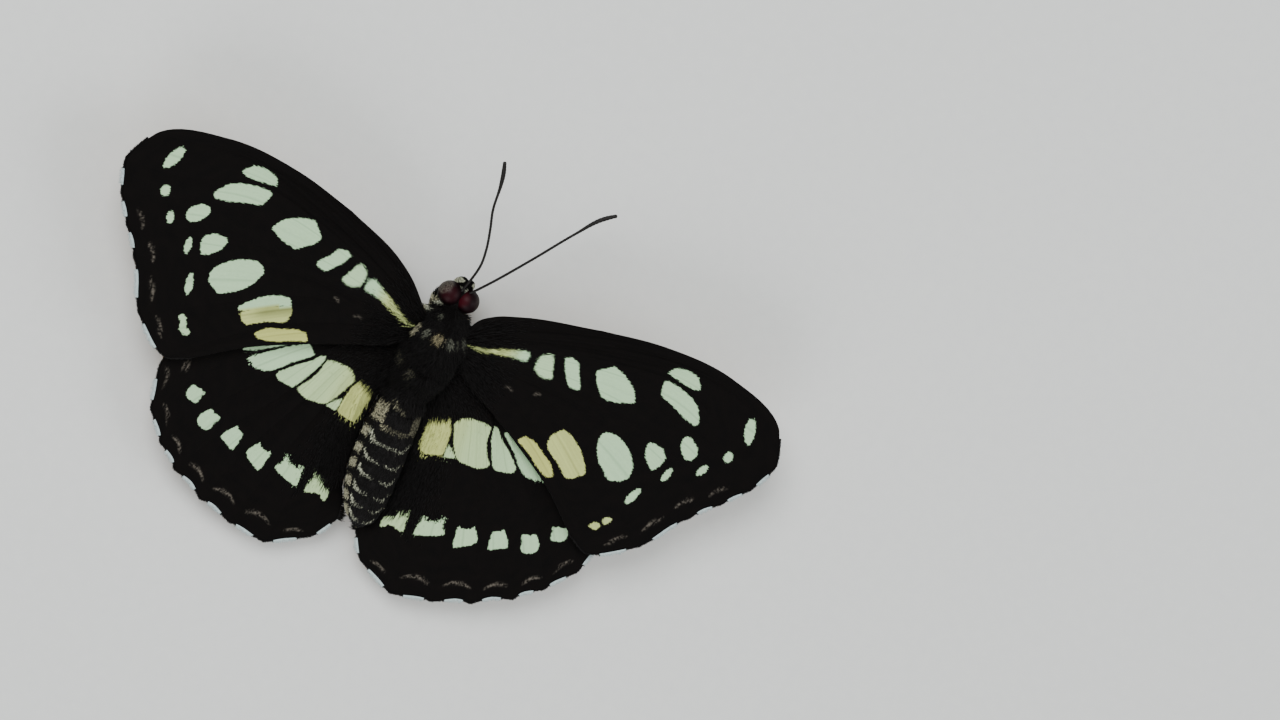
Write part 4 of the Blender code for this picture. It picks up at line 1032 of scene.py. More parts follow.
def tuft_tree(name, on_surface):
    """Grows tufts over a surface, or one at each point, along its comb and bent down towards its tip."""
    tree = bpy.data.node_groups.new(name, "GeometryNodeTree")
    for label, kind, default in TREE_INPUTS:
        socket = tree.interface.new_socket(name=label, in_out="INPUT", socket_type=kind)
        if default is not None:
            socket.default_value = default
    tree.interface.new_socket(name="Geometry", in_out="OUTPUT", socket_type="NodeSocketGeometry")
    given = add_node(tree, "NodeGroupInput").outputs
    comb = add_node(tree, "GeometryNodeInputNamedAttribute", {"Name": "comb"},
                    data_type="FLOAT_VECTOR").outputs[0]
    reach = add_node(tree, "GeometryNodeInputNamedAttribute", {"Name": "reach"},
                     data_type="FLOAT").outputs[0]
    if on_surface:
        growth = add_node(tree, "GeometryNodeInputNamedAttribute", {"Name": given["Growth"]},
                          data_type="FLOAT").outputs[0]
        density = add_node(tree, "ShaderNodeMath", {0: growth, 1: given["Density"]},
                           operation="MULTIPLY").outputs[0]
        spread = add_node(tree, "GeometryNodeDistributePointsOnFaces",
                          {"Mesh": given["Geometry"], "Density": density, "Seed": given["Seed"]})
        points, up = spread.outputs["Points"], spread.outputs["Normal"]
    else:
        points = given["Geometry"]
        up = add_node(tree, "GeometryNodeInputNamedAttribute", {"Name": "up"},
                      data_type="FLOAT_VECTOR").outputs[0]
    points = add_node(tree, "GeometryNodeStoreNamedAttribute",
                      {"Geometry": points, "Name": "root_up", "Value": up},
                      data_type="FLOAT_VECTOR", domain="POINT").outputs[0]
    vary = add_node(tree, "FunctionNodeRandomValue", {2: 0.65, 3: 1.2, "Seed": given["Seed"]},
                    data_type="FLOAT").outputs[1]
    long = add_node(tree, "ShaderNodeMath", {0: reach, 1: given["Length"]}, operation="MULTIPLY").outputs[0]
    long = add_node(tree, "ShaderNodeMath", {0: long, 1: vary}, operation="MULTIPLY").outputs[0]
    points = add_node(tree, "GeometryNodeStoreNamedAttribute",
                      {"Geometry": points, "Name": "root_length", "Value": long},
                      data_type="FLOAT", domain="POINT").outputs[0]
    raised = add_node(tree, "ShaderNodeVectorMath", {0: up, "Scale": given["Lift"]},
                      operation="SCALE").outputs[0]
    aim = add_node(tree, "ShaderNodeVectorMath", {0: comb, 1: raised}, operation="ADD").outputs[0]
    side_seed = add_node(tree, "ShaderNodeMath", {0: given["Seed"], 1: 7.0}, operation="ADD").outputs[0]
    stray = add_node(tree, "FunctionNodeRandomValue", {0: (-1, -1, -1), 1: (1, 1, 1), "Seed": side_seed},
                     data_type="FLOAT_VECTOR").outputs[0]
    stray = add_node(tree, "ShaderNodeVectorMath", {0: stray, "Scale": given["Stray"]},
                     operation="SCALE").outputs[0]
    aim = add_node(tree, "ShaderNodeVectorMath", {0: aim, 1: stray}, operation="ADD").outputs[0]
    turn = add_node(tree, "FunctionNodeAxesToRotation", {0: aim, 1: up}, primary_axis="Z",
                    secondary_axis="X").outputs[0]
    scale = add_node(tree, "ShaderNodeCombineXYZ", {0: given["Width"], 1: given["Width"],
                                                    2: long}).outputs[0]
    lock = add_node(tree, "GeometryNodeObjectInfo", {"Object": given["Tuft"]}).outputs["Geometry"]
    grown = add_node(tree, "GeometryNodeInstanceOnPoints",
                     {"Points": points, "Instance": lock, "Rotation": turn, "Scale": scale}).outputs[0]
    whole = add_node(tree, "GeometryNodeRealizeInstances", {0: grown}).outputs[0]
    height, root_up, root_long, patch, root = (
        add_node(tree, "GeometryNodeInputNamedAttribute", {"Name": label}, data_type=kind).outputs[0]
        for label, kind in (("height", "FLOAT"), ("root_up", "FLOAT_VECTOR"), ("root_length", "FLOAT"),
                            ("patch", "FLOAT_VECTOR"), ("root", "FLOAT_VECTOR")))
    bend = add_node(tree, "ShaderNodeMath", {0: height, 1: 2.0}, operation="POWER").outputs[0]
    for factor in (root_long, given["Curl"], -1.0):
        bend = add_node(tree, "ShaderNodeMath", {0: bend, 1: factor}, operation="MULTIPLY").outputs[0]
    offset = add_node(tree, "ShaderNodeVectorMath", {0: root_up, "Scale": bend},
                      operation="SCALE").outputs[0]
    bent = add_node(tree, "GeometryNodeSetPosition", {"Geometry": whole, "Offset": offset}).outputs[0]
    patch = add_node(tree, "ShaderNodeVectorMath", {0: patch, "Scale": PATCH}, operation="SCALE").outputs[0]
    chart = add_node(tree, "ShaderNodeVectorMath", {0: patch, 1: root}, operation="ADD").outputs[0]
    mapped = add_node(tree, "GeometryNodeStoreNamedAttribute",
                      {"Geometry": bent, "Name": "OFBake", "Value": chart},
                      data_type="FLOAT2", domain="CORNER").outputs[0]
    painted = add_node(tree, "GeometryNodeSetMaterial",
                       {"Geometry": mapped, "Material": given["Material"]}).outputs[0]
    add_node(tree, "NodeGroupOutput", {0: painted})
    return tree


def grow(name, base, tree, slot, nodes, **given):
    """Grows a coat on a base mesh and keeps it as a plain mesh."""
    holder = put_in_scene(name, base)
    growing = holder.modifiers.new("tufts", "NODES")
    growing.node_group = tree
    for item in tree.interface.items_tree:
        if item.item_type == "SOCKET" and item.in_out == "INPUT" and item.name in given:
            growing[item.identifier] = given[item.name]
    graph = bpy.context.evaluated_depsgraph_get()
    made = bpy.data.meshes.new_from_object(holder.evaluated_get(graph))
    bpy.data.objects.remove(holder)
    made.name = name
    if not made.polygons:
        raise RuntimeError(f"{name} grew nothing")
    for spare in ("root_up", "root_length", "patch", "root", "comb", "up", "growth", "reach", "dots",
                  "grain"):
        if spare in made.attributes:
            made.attributes.remove(made.attributes[spare])
    join_piece(put_in_scene(name, made), slot, *nodes)


# Body.


def head_point(local):
    """A point given from the head's centre, after the head's turn."""
    return HEAD_AT + Matrix.Rotation(HEAD_TURN, 3, "Z") @ Vector(local)


def eye_gap(points, side):
    """How far points lie from an eye's middle, as shares of its radii."""
    middle = np.array(head_point((side * EYE_AT.x, EYE_AT.y, EYE_AT.z)))
    return np.linalg.norm((points - middle) / np.array(EYE_RADII), axis=-1)


def body_stations():
    """Stations of (y, x, height, half width, half height, turn) from the face to the tip of the abdomen."""
    made = []
    for degrees in (10, 22, 36, 52, 70, 90, 110, 126, 139):
        lift = math.radians(degrees)
        centre = head_point((0, -HEAD_RADII.y * math.cos(lift), 0))
        made.append((centre.y, centre.x, centre.z, HEAD_RADII.x * math.sin(lift),
                     HEAD_RADII.z * math.sin(lift),
                     HEAD_TURN))
    made.append((-2.62, 0.18, 5.36, 0.78, 0.82, HEAD_TURN / 2))
    made += [(*s, 0.0) for s in TRUNK]
    return made


def body_points():
    """The skin's rings, with what grows on it worked out for every point."""
    stations = curve(body_stations(), np.linspace(0, 1, BODY_RINGS))
    y, x, z, wide, high, turn = (stations[:, k][None, :] for k in range(6))
    around = np.linspace(-180.0, 180.0, BODY_SIDES, endpoint=False)[:, None]
    theta = np.radians(around)
    on_abdomen, on_thorax = ramp(y, 6.2, 7.0), ramp(y, -2.0, -1.4) * ramp(y, 6.4, 5.6)
    ends = np.array(SEGMENT_ENDS)
    shifted = y + 0.85 * ramp(np.abs(around), 32, 62)
    index = np.clip(np.searchsorted(ends, shifted), 0, len(ends) - 1)
    starts = np.concatenate([[6.3], ends[:-1]])
    within = np.clip((shifted - starts[index]) / (ends[index] - starts[index]), 0, 1)
    swell = on_abdomen * (0.10 * within - 0.05 - 0.10 * hump(within, 0.06))
    swell -= on_abdomen * 0.14 * hump(np.abs(around) - 103, 7)
    swell += on_thorax * 0.28 * hump(y - 1.3, 1.7) * hump(around, 46)
    swell -= on_thorax * 0.07 * hump(around, 5) * ramp(y, 3.4, 2.6)
    swell += 0.30 * hump(y - 4.45, 0.62) * hump(around, 34) - 0.14 * hump(y - 3.55, 0.28) * hump(around, 50)
    swell += 0.42 * hump(y - 0.35, 0.85) * hump(np.abs(around) - 54, 13)
    swell += 0.16 * hump(y + 1.35, 0.4) * hump(np.abs(around) - 40, 30)
    swell -= 0.16 * hump(y + 3.8, 0.9) * hump(around, 34)
    wide, high = wide + swell, high + swell
    local_x, local_z = wide * np.sin(theta), high * np.cos(theta)
    points = np.stack([x + local_x * np.cos(turn), y + local_x * np.sin(turn), z + local_z], -1)
    return points, around, shifted


def body_marks(points, around, shifted):
    """Depth of every skin point in the body's pale marks, and how cream they are."""
    x, y = points[..., 0], points[..., 1]
    arcs = np.full(x.shape, -3.0)
    flank = np.full(x.shape, -3.0)
    tilt = np.abs(around)
    for k, end in enumerate(SEGMENT_ENDS[2:]):
        open_back = ramp(tilt, 2, 8) if k else 1.0
        thick = ((0.10, 0.085, 0.08, 0.075, 0.065, 0.05)[k] + 0.09 * hump(tilt - 46, 12)
                 + 0.12 * hump(around - 44, 16)) * ramp(tilt, 66 - 11 * (k > 0),
                                                        58 - 9 * (k > 0)) * open_back
        arcs = np.maximum(arcs, thick - 0.02 - np.abs(shifted + 0.06 - end) - 0.2 * (thick < 0.03))
        blot = np.maximum(np.abs(tilt - np.where(around > 0, 75, 98)) * 0.04 - 0.50,
                          np.abs(y - end + 0.52) - 0.30)
        flank = np.maximum(flank, 0.14 - blot)
    patch = np.minimum(0.05, 0.20 - np.maximum(np.abs(tilt - 56) * 0.04 - 0.62, np.abs(y - 8.45) - 0.75))
    patch = np.maximum(patch, 0.24 - 1.3 * np.abs(shifted - 9.62) - ramp(tilt, 36, 44))
    patch = np.maximum(patch, 0.12 - np.abs(y - 7.0 - 0.02 * (35 - around))
                       - 0.5 * (np.abs(around - 14) > 22))
    belly = (np.abs(around) - 138) * 0.035 + 0 * x
    flat = np.stack([x, y], -1).reshape(-1, 2)
    collar, nearest = deepest(flat, [oval(*m[1:]) for m in BACK_MARKS], range(len(BACK_MARKS)))
    nearest = nearest.reshape(x.shape)
    cream, faint = np.array([m[0] for m in BACK_MARKS])[nearest], np.array(BACK_FADED)[nearest]
    collar = np.where(np.abs(around) < 85, collar.reshape(x.shape), -3.0)
    under = np.where(around > 0, 84, 124)
    cheek = np.maximum(0.17 - np.hypot((tilt - under) * 0.010, y + 2.46),
                       0.25 - np.hypot((tilt - under) * 0.014, y + 1.58))
    eye_rim = np.full(x.shape, -3.0)
    for side in (LEFT, RIGHT):
        gap = eye_gap(points, side) - 1
        eye_rim = np.maximum(eye_rim, 0.07 - np.abs(gap - 0.04) - ramp(tilt, 130, 110) * ramp(y, -4.6,
                                                                                              -4.2))
    all_marks = np.stack([arcs, flank, patch, belly, collar, cheek, eye_rim])
    which = all_marks.argmax(0)
    warm = np.where(which == 4, cream, np.array((0.05, 0.35, 0.45, 0.25, 0.0, 0.0, 0.0))[which])
    faded = np.where(which == 4, faint, np.array((0.36, 0.30, 0.32, 0.1, 0.0, 0.1, 0.5))[which])
    # Painted shade: the base patch is dimmed on its right side and middle.
    faded = np.where((which == 2) & (around < 20), 0.80, faded) - 0.4 * (which == 0) * hump(around - 50, 12)
    return np.minimum(all_marks.max(0), 0.13), warm, faded


def body_skin():
    """One skin of the whole body, from the face to the tip of the abdomen."""
    points, around, shifted = body_points()
    pale, warm, faded = body_marks(points, around, shifted)
    sides, rings = BODY_SIDES, BODY_RINGS
    y = points[..., 1]
    back = np.gradient(points, axis=1)
    down = np.gradient(points, axis=0)
    down[0], down[-1] = points[1] - points[-1], points[0] - points[-2]
    down = unit(down) * np.sign(np.where(around == 0, 1, around))[..., None]
    on_head, on_abdomen = ramp(y, -2.4, -2.8), ramp(y, 6.0, 6.8)
    on_thorax = ramp(y, -2.8, -2.2) * ramp(y, 6.8, 6.0)
    sweep = 0.35 * on_thorax + 0.15 * on_abdomen + 0.1 * on_head
    comb = unit(unit(back) + down * sweep[..., None])
    cheek = np.maximum(hump(y + 2.42, 0.36), hump(y + 1.45, 0.36)) * hump(np.abs(around) - 95, 36)
    outward = np.stack([np.sign(around) * np.ones_like(y), -0.5 * np.ones_like(y), np.zeros_like(y)], -1)
    comb = unit(comb * (1 - 0.8 * cheek[..., None]) + outward * 1.4 * cheek[..., None])
    reach_thorax = 0.55 + 0.45 * ramp(y, -1.2, 2.0) - 0.25 * ramp(y, 4.5, 6.2) + 0.25 * cheek
    face = ramp(y, -4.2, -4.8)
    reach = (on_thorax * reach_thorax + on_abdomen * (1.0 + 0.5 * ramp(y, 8.5, 7.0) + 0.3 * ramp(y, 18.0,
                                                                                                 19.0))
             + on_head * (0.75 - 0.25 * hump(around, 35) - 0.3 * face))
    clear = np.minimum(eye_gap(points, LEFT), eye_gap(points, RIGHT))
    head_growth = on_head * ramp(clear, 0.98, 1.05)
    emphasis = 0.65 + 0.35 * ramp(pale, -0.1, 0.05)
    root = np.stack([np.broadcast_to((around + 180) / 360 * 0.9 + 0.03, y.shape),
                     np.broadcast_to(np.linspace(0.03, 0.97, rings)[None], y.shape), np.zeros_like(y)], -1)
    tips = np.stack([points[:, 0].mean(0) + (0, -0.02, 0), points[:, -1].mean(0) + (0, 0.12, 0)])
    whole = np.concatenate([points.reshape(-1, 3), tips])
    faces = closed_faces(sides, rings)
    thinned = 0.5 + 0.5 * ramp(np.abs(around) * np.ones_like(y), 150, 90)
    ends = lambda value: np.concatenate([value.reshape(-1, *value.shape[2:]), value[0, [0, -1]]])
    values = {"pale": ends(np.clip(pale, -2, 2)), "warm": ends(warm), "faded": ends(faded),
              "reach": ends(reach),
              "comb": ends(comb),
              "root": ends(root), "growth_head": ends(head_growth),
              "growth_thorax": ends(on_thorax * emphasis * thinned),
              "growth_abdomen": ends(on_abdomen * emphasis)}
    return add_mesh("body_skin", whole, faces, [coat_material("skin_scales", 0.6)], values)


def egg_points(centre, radii, rings, sides):
    lift = np.linspace(0, math.pi, rings + 1)[1:-1][None, :]
    turn = np.linspace(0, 2 * math.pi, sides, endpoint=False)[:, None]
    ring = np.stack([radii.x * np.sin(lift) * np.sin(turn), -radii.y * np.cos(lift) + 0 * turn,
                     radii.z * np.sin(lift) * np.cos(turn)], -1)
    tips = np.array([(0, -radii.y, 0), (0, radii.y, 0)])
    return np.concatenate([ring.reshape(-1, 3), tips]) + np.array(centre)


def closed_faces(sides, rings):
    """Faces of a tube of rings that is closed by two tip points stored last."""
    faces = [tuple(f) for f in grid_faces(sides, rings, around=True)]
    for end, tip in ((0, sides * rings), (rings - 1, sides * rings + 1)):
        faces += [(s * rings + end, ((s + 1) % sides) * rings + end, tip) for s in range(sides)]
    return faces


def swept(path, radii, sides):
    """Points and faces of a round tube along a path, closed by rounded ends."""
    path, radii = np.asarray(path, float), np.asarray(radii, float)
    ahead = unit(np.gradient(path, axis=0))
    start = np.cross(ahead[0], (0.0, 0.0, 1.0))
    across = [start / np.linalg.norm(start) if np.linalg.norm(start) > 1e-3 else np.array((1.0, 0.0, 0.0))]
    for k in range(1, len(path)):
        turned_on = across[-1] - across[-1].dot(ahead[k]) * ahead[k]
        across.append(turned_on / np.linalg.norm(turned_on))
    across = np.array(across)
    other = np.cross(ahead, across)
    turn = np.linspace(0, 2 * math.pi, sides, endpoint=False)[:, None, None]
    ring = path[None] + (across[None] * np.cos(turn) + other[None] * np.sin(turn)) * radii[None, :, None]
    tips = np.stack([path[0] - ahead[0] * radii[0] * 0.6, path[-1] + ahead[-1] * radii[-1] * 0.6])
    return np.concatenate([ring.reshape(-1, 3), tips]), closed_faces(sides, len(path))


def put_together(parts):
    """Several closed shapes as one list of points and faces."""
    points, faces, offset = [], [], 0
    for more_points, more_faces in parts:
        points.append(more_points)
        faces += [tuple(i + offset for i in f) for f in more_faces]
        offset += len(more_points)
    return np.concatenate(points), faces


def mirrored(stations, side):
    return [(side * s[0], *s[1:]) for s in stations]


class BUTTERFLY_OT_skin(bpy.types.Operator):
    """Make the body's skin: head, neck, thorax and abdomen in one"""

    bl_idname = "butterfly.skin"
    bl_label = "Body skin"

    def execute(self, context):
        join_piece(body_skin(), "black_fur", "thorax", "abdomen", "head")
        return {"FINISHED"}


class BUTTERFLY_OT_wings(bpy.types.Operator):
    """Make the four wings, their fringes and the hair at their roots"""

    bl_idname = "butterfly.wings"
    bl_label = "Wings"

    def execute(self, context):
        materials = [wing_upper_material(), wing_under_material()]
        hair = coat_material("wing_hair", 0.6, 0.95, ("white", "cream"), 0.0)
        bristle = coat_material("fringe_hair", 0.6, 0.95, ("frost", "cream"), 0.0)
        lock = tuft_shape()
        over, along = tuft_tree("hair_over_wing", True), tuft_tree("fringe_along_margin", False)
        kinds = (("forewing", FOREWING, FOREWING_SCALLOP, forewing_place),
                 ("hindwing", hindwing_lines(), HINDWING_SCALLOP, hindwing_place))
        for kind, lines, scallop, place in kinds:
            for side in (LEFT, RIGHT):
                if kind == "forewing":
                    lines = {**FOREWING, "costa": (COSTA[side], 0.0)}
                node = f"{kind}_{SIDE_NAMES[side]}"
                obj, tail = wing(kind, side, lines, scallop, place, materials)
                here, way, up, pale, length, root = margin_rows(kind, side, place, tail)
                line = bpy.data.meshes.new("margin")
                line.from_pydata(in_place(here).tolist(), [], [])
                put_attributes(line, {"comb": way, "up": up, "root": np.pad(root, ((0, 0), (0, 1))),
                                      "pale": pale, "warm": pale * 0 + 0.1, "reach": length})
                for layer, (share, lift, stray) in enumerate(FRINGE_LAYERS):
                    grow(f"fringe_{node}_{layer}", line.copy(), along, "wing_scales", [node], Tuft=lock,
                         Material=bristle, Length=sizes().fringe * share, Width=0.075 * MM, Lift=lift,
                         Stray=stray, Curl=0.1, Seed=11 + layer)
                base = obj.data.copy()
                chart = np.empty(len(base.loops) * 2, np.float32)
                base.uv_layers["OFBake"].data.foreach_get("uv", chart)
                places = np.zeros((len(base.vertices), 3), np.float32)
                places[loop_vertices(base), :2] = chart.reshape(-1, 2)
                put_attributes(base, {"root": places})
                base.uv_layers.remove(base.uv_layers["OFBake"])
                grow(f"hair_{node}", base, over, "wing_scales", [node], Tuft=lock, Material=hair,
                     Length=sizes().wing_hair, Width=0.07 * MM, Density=70e6, Lift=0.22, Stray=0.22,
                     Curl=0.12,
                     Seed=21)
                join_piece(obj, "wing_scales", node)
        bpy.data.objects.remove(lock)
        return {"FINISHED"}


class BUTTERFLY_OT_coat(bpy.types.Operator):
    """Grow the hair of head and thorax and the scales of the abdomen on the skin"""

    bl_idname = "butterfly.coat"
    bl_label = "Coat"

    def execute(self, context):
        skin = bpy.data.objects["body_skin"].data
        lock, tree = tuft_shape(), tuft_tree("coat_over_skin", True)
        hair = coat_material("body_hair", 0.55)
        parts = (
            ("coat_head", "growth_head", "head", sizes().head_hair, 0.07, 520e6, 0.75, 0.40, 0.30, 31),
            ("coat_thorax", "growth_thorax", "thorax", sizes().thorax_hair, 0.085, 115e6, 0.38, 0.24, 0.22,
             32),
            ("coat_thorax_under", "growth_thorax", "thorax", sizes().thorax_hair * 0.55, 0.08, 115e6, 0.55,
             0.35,
             0.25, 33),
            ("coat_abdomen", "growth_abdomen", "abdomen", sizes().abdomen_hair, 0.10, 81e6, 0.16, 0.16,
             0.12, 34),
        )
        for name, growth, node, length, width, density, lift, stray, curl, seed in parts:
            grow(name, skin.copy(), tree, "black_fur", [node], Tuft=lock, Material=hair, Growth=growth,
                 Length=length, Width=width * MM, Density=density, Lift=lift, Stray=stray, Curl=curl,
                 Seed=seed)
        bpy.data.objects.remove(lock)
        return {"FINISHED"}


class BUTTERFLY_OT_head_parts(bpy.types.Operator):
    """Make the eyes, palps, tongue and antennae"""

    bl_idname = "butterfly.head_parts"
    bl_label = "Eyes, palps, tongue and antennae"

    def execute(self, context):
        eye_finish, horn, hair = eye_material(), horn_material(), coat_material("palp_scales", 0.6)
        lock, tree = tuft_shape(), tuft_tree("coat_over_palp", True)
        turn = np.array(Matrix.Rotation(HEAD_TURN, 3, "Z"))
        for side in (LEFT, RIGHT):
            name = SIDE_NAMES[side]
            eye_at = (side * EYE_AT.x, EYE_AT.y, EYE_AT.z)
            local = egg_points(eye_at, EYE_RADII, EYE_RINGS, EYE_SIDES)
            outward = unit(local - np.array(eye_at))
            (shine, shine_way), (reflection_strength, reflection_way) = EYE_RED_HIGHLIGHT[side], EYE_GREY_REFLECTION[side]
            values = {"glow": ramp(outward @ unit(np.array(shine_way)), 0.60, 0.98) * shine,
                      "bloom": ramp(outward @ unit(np.array(reflection_way)), 0.62, 0.84) * reflection_strength}
            eye = add_mesh(f"eye_{name}_facets", local @ turn.T + np.array(HEAD_AT),
                           closed_faces(EYE_SIDES, EYE_RINGS - 1), [eye_finish], values)
            join_piece(eye, "eye", f"eye_{name}")
            palp = curve(mirrored(PALP, side), np.linspace(0, 1, PALP_STEPS))
            path = palp[:, :3] @ turn.T + np.array(HEAD_AT)
            points, faces = swept(path, palp[:, 3], PALP_SIDES)
            index = np.arange(len(points))
            ring, step = index // PALP_STEPS, index % PALP_STEPS
            middle = np.stack([np.interp(step, range(PALP_STEPS), path[:, k]) for k in range(3)], 1)
            off = (points - middle) @ turn / np.interp(step, range(PALP_STEPS), palp[:, 3])[:, None]
            values = {"pale": np.clip(off[:, 0] * side - 0.80 - 0.5 * np.maximum(off[:, 2] - 0.35, 0),
                                      -0.5, 0.5),
                      "warm": np.full(len(points), 0.1), "growth": np.ones(len(points)),
                      "reach": np.interp(step, (0, PALP_STEPS // 2, PALP_STEPS - 1), (0.6, 1.0, 0.7)),
                      "comb": unit(np.gradient(path, axis=0))[step],
                      "root": np.stack([ring / (PALP_SIDES + 1.0), step / PALP_STEPS, step * 0.0], 1)}
            palp = add_mesh(f"palp_{name}_scaled", points, faces, [hair], values)
            grow(f"coat_palp_{name}", palp.data.copy(), tree, "pale_scales", [f"palp_{name}"], Tuft=lock,
                 Material=hair, Length=sizes().head_hair * 0.5, Width=0.07 * MM, Density=260e6, Lift=0.30,
                 Stray=0.25, Curl=0.3, Seed=41)
            join_piece(palp, "pale_scales", f"palp_{name}")
            share = np.linspace(0, 1, ANTENNA_JOINTS * 6 + 1)
            path = curve(ANTENNA[side], share)
            club = ramp(share, CLUB_START, CLUB_START + 0.2) * (1 - 0.45 * ramp(share, 0.93, 1.0))
            joint = np.abs(np.sin(math.pi * share * ANTENNA_JOINTS)) ** 0.35
            radius = (SHAFT_RADIUS + (CLUB_RADIUS - SHAFT_RADIUS) * club) * (0.86 + 0.14 * joint)
            radius[:5] = 0.16
            points, faces = swept(path, radius, 14)
            join_piece(add_mesh(f"antenna_{name}_jointed", points, faces, [horn]), "horn",
                       f"antenna_{name}")
        bpy.data.objects.remove(lock)
        steps = np.linspace(0, 1, COIL_STEPS)
        angle = COIL_START - steps * COIL_TURNS * 2 * math.pi
        reach = COIL_RADIUS * (1 - 0.72 * steps)
        path = np.array(COIL_AT) + np.stack([0.05 * np.sin(angle * 0.5), reach * np.cos(angle),
                                             reach * np.sin(angle)], 1)
        path = path @ turn.T + np.array(HEAD_AT)
        points, faces = swept(path, COIL_WIRE * (1 - 0.35 * steps) * (0.93 + 0.07 * np.cos(steps * 420)),
                              12)
        join_piece(add_mesh("tongue_coiled", points, faces, [horn]), "horn", "tongue")
        return {"FINISHED"}


def leg_radii(share, radii, joints):
    """Thins a leg where its segments meet."""
    pinch = np.ones_like(share)
    for joint, depth, width in joints:
        pinch -= depth * hump(share - joint, width)
    return radii * pinch


def claws_and_spurs(line):
    """The two claws at the tip of a foot and the two spurs at its knee."""
    foot, knee = line[-1, :3], line[int(LEG_STEPS * KNEE_SHARE), :3]
    way = unit(foot - line[-4, :3])
    sideways = np.array([-way[1], way[0], 0.0])
    parts = []
    for fork in (-1, 1):
        claw = [foot, foot + way * 0.18 + sideways * fork * 0.09 + (0, 0, 0.05),
                foot + way * 0.34 + sideways * fork * 0.13 - (0, 0, foot[2] - 0.04)]
        parts.append(swept(curve(claw, np.linspace(0, 1, 10)), np.linspace(0.045, 0.012, 10), 8))
    for fork in (-1, 1):
        tip = knee + way * 0.45 + sideways * fork * 0.16 - (0, 0, 0.12)
        parts.append(swept(np.linspace(knee, tip, 6), np.linspace(0.05, 0.012, 6), 8))
    return parts


class BUTTERFLY_OT_legs(bpy.types.Operator):
    """Make the folded forelegs and the four walking legs, with spurs and claws"""

    bl_idname = "butterfly.legs"
    bl_label = "Legs"

    def execute(self, context):
        scaled = coat_material("leg_scales", 0.55)
        lock, tree = tuft_shape(), tuft_tree("hair_over_leg", True)
        share = np.linspace(0, 1, LEG_STEPS)
        for kind, stations, joints in LEGS:
            folded = kind == "foreleg"
            hairy, bare = (1.0, (1.0, 0.95)) if folded else (0.5, (0.66, 0.5))
            for side in (LEFT, RIGHT):
                node = f"{kind}_{SIDE_NAMES[side]}"
                line = curve(mirrored(stations, side), share)
                line[:, 2] = np.maximum(line[:, 2], line[:, 3] + 0.01)
                parts = [swept(line[:, :3], leg_radii(share, line[:, 3], joints), LEG_SIDES)]
                points, faces = put_together(parts if folded else parts + claws_and_spurs(line))
                index = np.arange(len(points))
                ring, step = index // LEG_STEPS, index % LEG_STEPS
                order = np.argsort(line[:, 0] * side)
                below = np.interp(points[:, 0] * side, line[order, 0] * side, line[order, 2]) - points[:, 2]
                pale = np.clip(below, -0.3, 0.3)
                if folded:
                    along = step / LEG_STEPS
                    pale = np.maximum(hump(along - 0.22, 0.11), hump(along - 0.44, 0.08)) * 0.6 - 0.35
                thigh = ramp(step, LEG_STEPS * bare[0], LEG_STEPS * bare[1])
                values = {"pale": pale, "warm": np.full(len(points), 0.35),
                          "growth": thigh * hairy * (index < LEG_STEPS * LEG_SIDES),
                          "reach": np.full(len(points), hairy),
                          "comb": np.tile(unit(line[-1, :3] - line[0, :3]) + (0, 0, -0.3),
                                          (len(points), 1)),
                          "root": np.stack([ring / (LEG_SIDES + 1.0), step / LEG_STEPS, thigh * 0], 1)}
                leg = add_mesh(f"{node}_scaled", points, faces, [scaled], values)
                grow(f"hair_{node}", leg.data.copy(), tree, "horn", [node], Tuft=lock, Material=scaled,
                     Length=sizes().head_hair * 1.1, Width=0.08 * MM, Density=240e6, Lift=0.55, Stray=0.4,
                     Curl=0.3, Seed=51)
                join_piece(leg, "horn", node)
        bpy.data.objects.remove(lock)
        return {"FINISHED"}


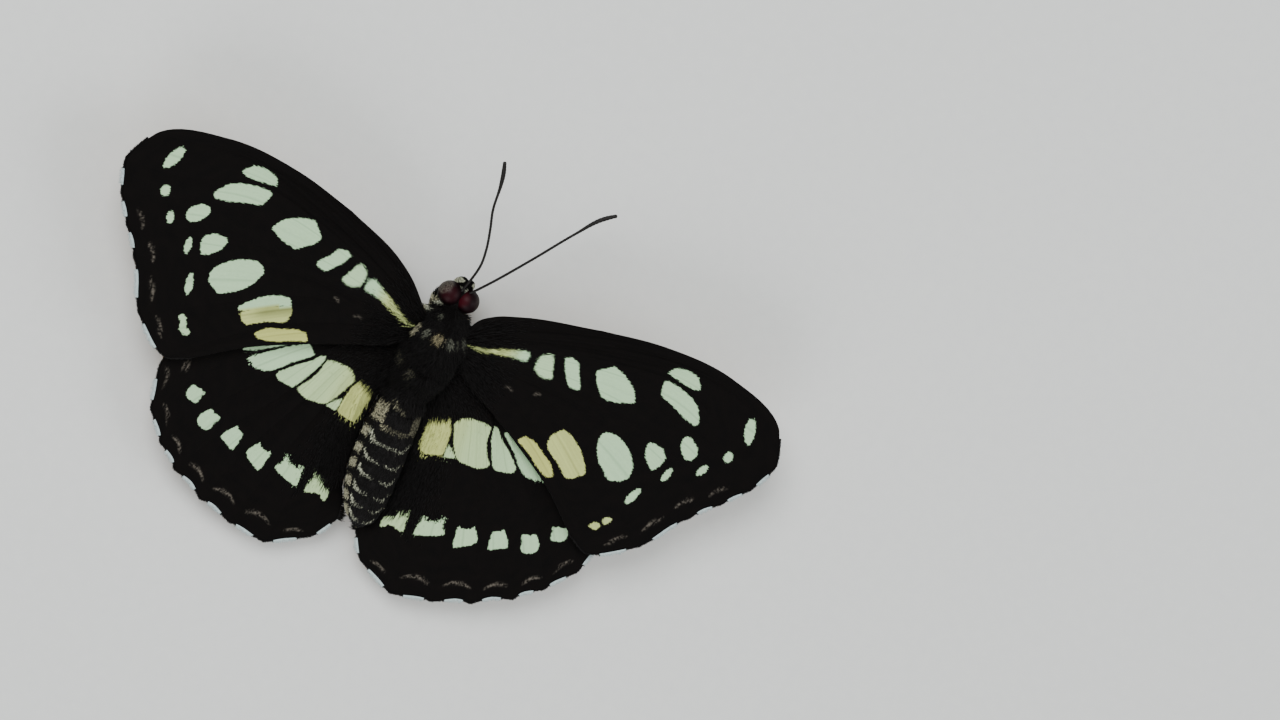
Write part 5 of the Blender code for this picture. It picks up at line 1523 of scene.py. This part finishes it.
class BUTTERFLY_OT_stage(bpy.types.Operator):
    """Lay the pale floor, set the soft lights and place the camera"""

    bl_idname = "butterfly.stage"
    bl_label = "Stage"

    def execute(self, context):
        made, tree, shader = start_material("matt_pale_card", Roughness=0.9)
        place = add_node(tree, "ShaderNodeTexCoord").outputs["Object"]
        fibres = add_node(tree, "ShaderNodeTexNoise",
                          {"Vector": place, "Scale": 900.0, "Detail": 4.0}).outputs["Fac"]
        tone = add_node(tree, "ShaderNodeMix", {0: fibres, 6: (*linear("#C6C8C6"), 1.0),
                                                7: (*linear("#CDCFCC"), 1.0)},
                        data_type="RGBA").outputs[2]
        tree.links.new(tone, shader.inputs["Base Color"])
        turns = np.linspace(0, 2 * math.pi, FLOOR_SIDES, endpoint=False)
        points = [(0, 0, 0)] + [(r * math.cos(t), r * math.sin(t), 0) for r in FLOOR_RINGS for t in turns]
        around = [(1 + s, 1 + (s + 1) % FLOOR_SIDES) for s in range(FLOOR_SIDES)]
        faces = [(0, a, b) for a, b in around]
        for first in range(0, (len(FLOOR_RINGS) - 1) * FLOOR_SIDES, FLOOR_SIDES):
            beyond = first + FLOOR_SIDES
            faces += [(first + a, beyond + a, beyond + b, first + b) for a, b in around]
        floor = bpy.data.meshes.new("floor")
        floor.from_pydata(points, [], faces)
        floor.materials.append(made)
        put_in_scene("floor", floor)

        world = bpy.data.worlds.new("pale_studio")
        context.scene.world = world
        world.use_nodes = True
        sky = world.node_tree.nodes["Background"]
        sky.inputs["Color"].default_value = (*linear("#E9EDF0"), 1.0)
        sky.inputs["Strength"].default_value = 0.55
        for name, spot, size, power in LAMPS:
            light = bpy.data.lights.new(name, "AREA")
            light.shape, light.size, light.energy = "DISK", size, power
            lamp = put_in_scene(name, light)
            lamp.location = spot
            lamp.rotation_mode = "QUATERNION"
            lamp.rotation_quaternion = (-Vector(spot)).to_track_quat("-Z", "Y")

        azimuth, elevation, roll = (math.radians(v) for v in (CAMERA_AZIMUTH, CAMERA_ELEVATION,
                                                              CAMERA_ROLL))
        back = Vector((math.cos(elevation) * math.sin(azimuth), -math.cos(elevation) * math.cos(azimuth),
                       math.sin(elevation)))
        right = Vector((0, 0, 1)).cross(back).normalized()
        up = back.cross(right)
        right, up = (right * math.cos(roll) + up * math.sin(roll),
                     up * math.cos(roll) - right * math.sin(roll))
        lens = bpy.data.cameras.new("camera")
        lens.lens, lens.sensor_width = CAMERA_LENS, CAMERA_SENSOR
        lens.clip_start, lens.clip_end = 0.01, 20.0
        camera = put_in_scene("camera", lens)
        camera.matrix_world = Matrix((right, up, back)).transposed().to_4x4()
        camera.location = Vector(in_place(CAMERA_TARGET)) + back * CAMERA_DISTANCE * MM
        context.scene.camera = camera
        return {"FINISHED"}


class BUTTERFLY_PT_panel(bpy.types.Panel):
    """Sizes, colours and the steps of the butterfly"""

    bl_idname = "BUTTERFLY_PT_panel"
    bl_label = "Common sergeant butterfly"
    bl_space_type = "VIEW_3D"
    bl_region_type = "UI"
    bl_category = "Butterfly"

    def draw(self, context):
        for group in (context.scene.butterfly_sizes, context.scene.butterfly_colours):
            column = self.layout.column(align=True)
            for key in group.__annotations__:
                column.prop(group, key)
        column = self.layout.column(align=True)
        for step in STEPS:
            column.operator(step.bl_idname)


STEPS = (BUTTERFLY_OT_stage, BUTTERFLY_OT_skin, BUTTERFLY_OT_coat, BUTTERFLY_OT_wings,
         BUTTERFLY_OT_head_parts,
         BUTTERFLY_OT_legs)
CLASSES = (ButterflySizes, ButterflyColours, *STEPS, BUTTERFLY_PT_panel)


def register():
    for cls in CLASSES:
        bpy.utils.register_class(cls)
    bpy.types.Scene.butterfly_sizes = bpy.props.PointerProperty(type=ButterflySizes)
    bpy.types.Scene.butterfly_colours = bpy.props.PointerProperty(type=ButterflyColours)


def unregister():
    del bpy.types.Scene.butterfly_colours
    del bpy.types.Scene.butterfly_sizes
    for cls in reversed(CLASSES):
        bpy.utils.unregister_class(cls)


def main():
    register()
    bpy.ops.butterfly.stage()
    bpy.ops.butterfly.skin()
    bpy.ops.butterfly.coat()
    bpy.ops.butterfly.wings()
    bpy.ops.butterfly.head_parts()
    bpy.ops.butterfly.legs()


if __name__ == "__main__":
    main()
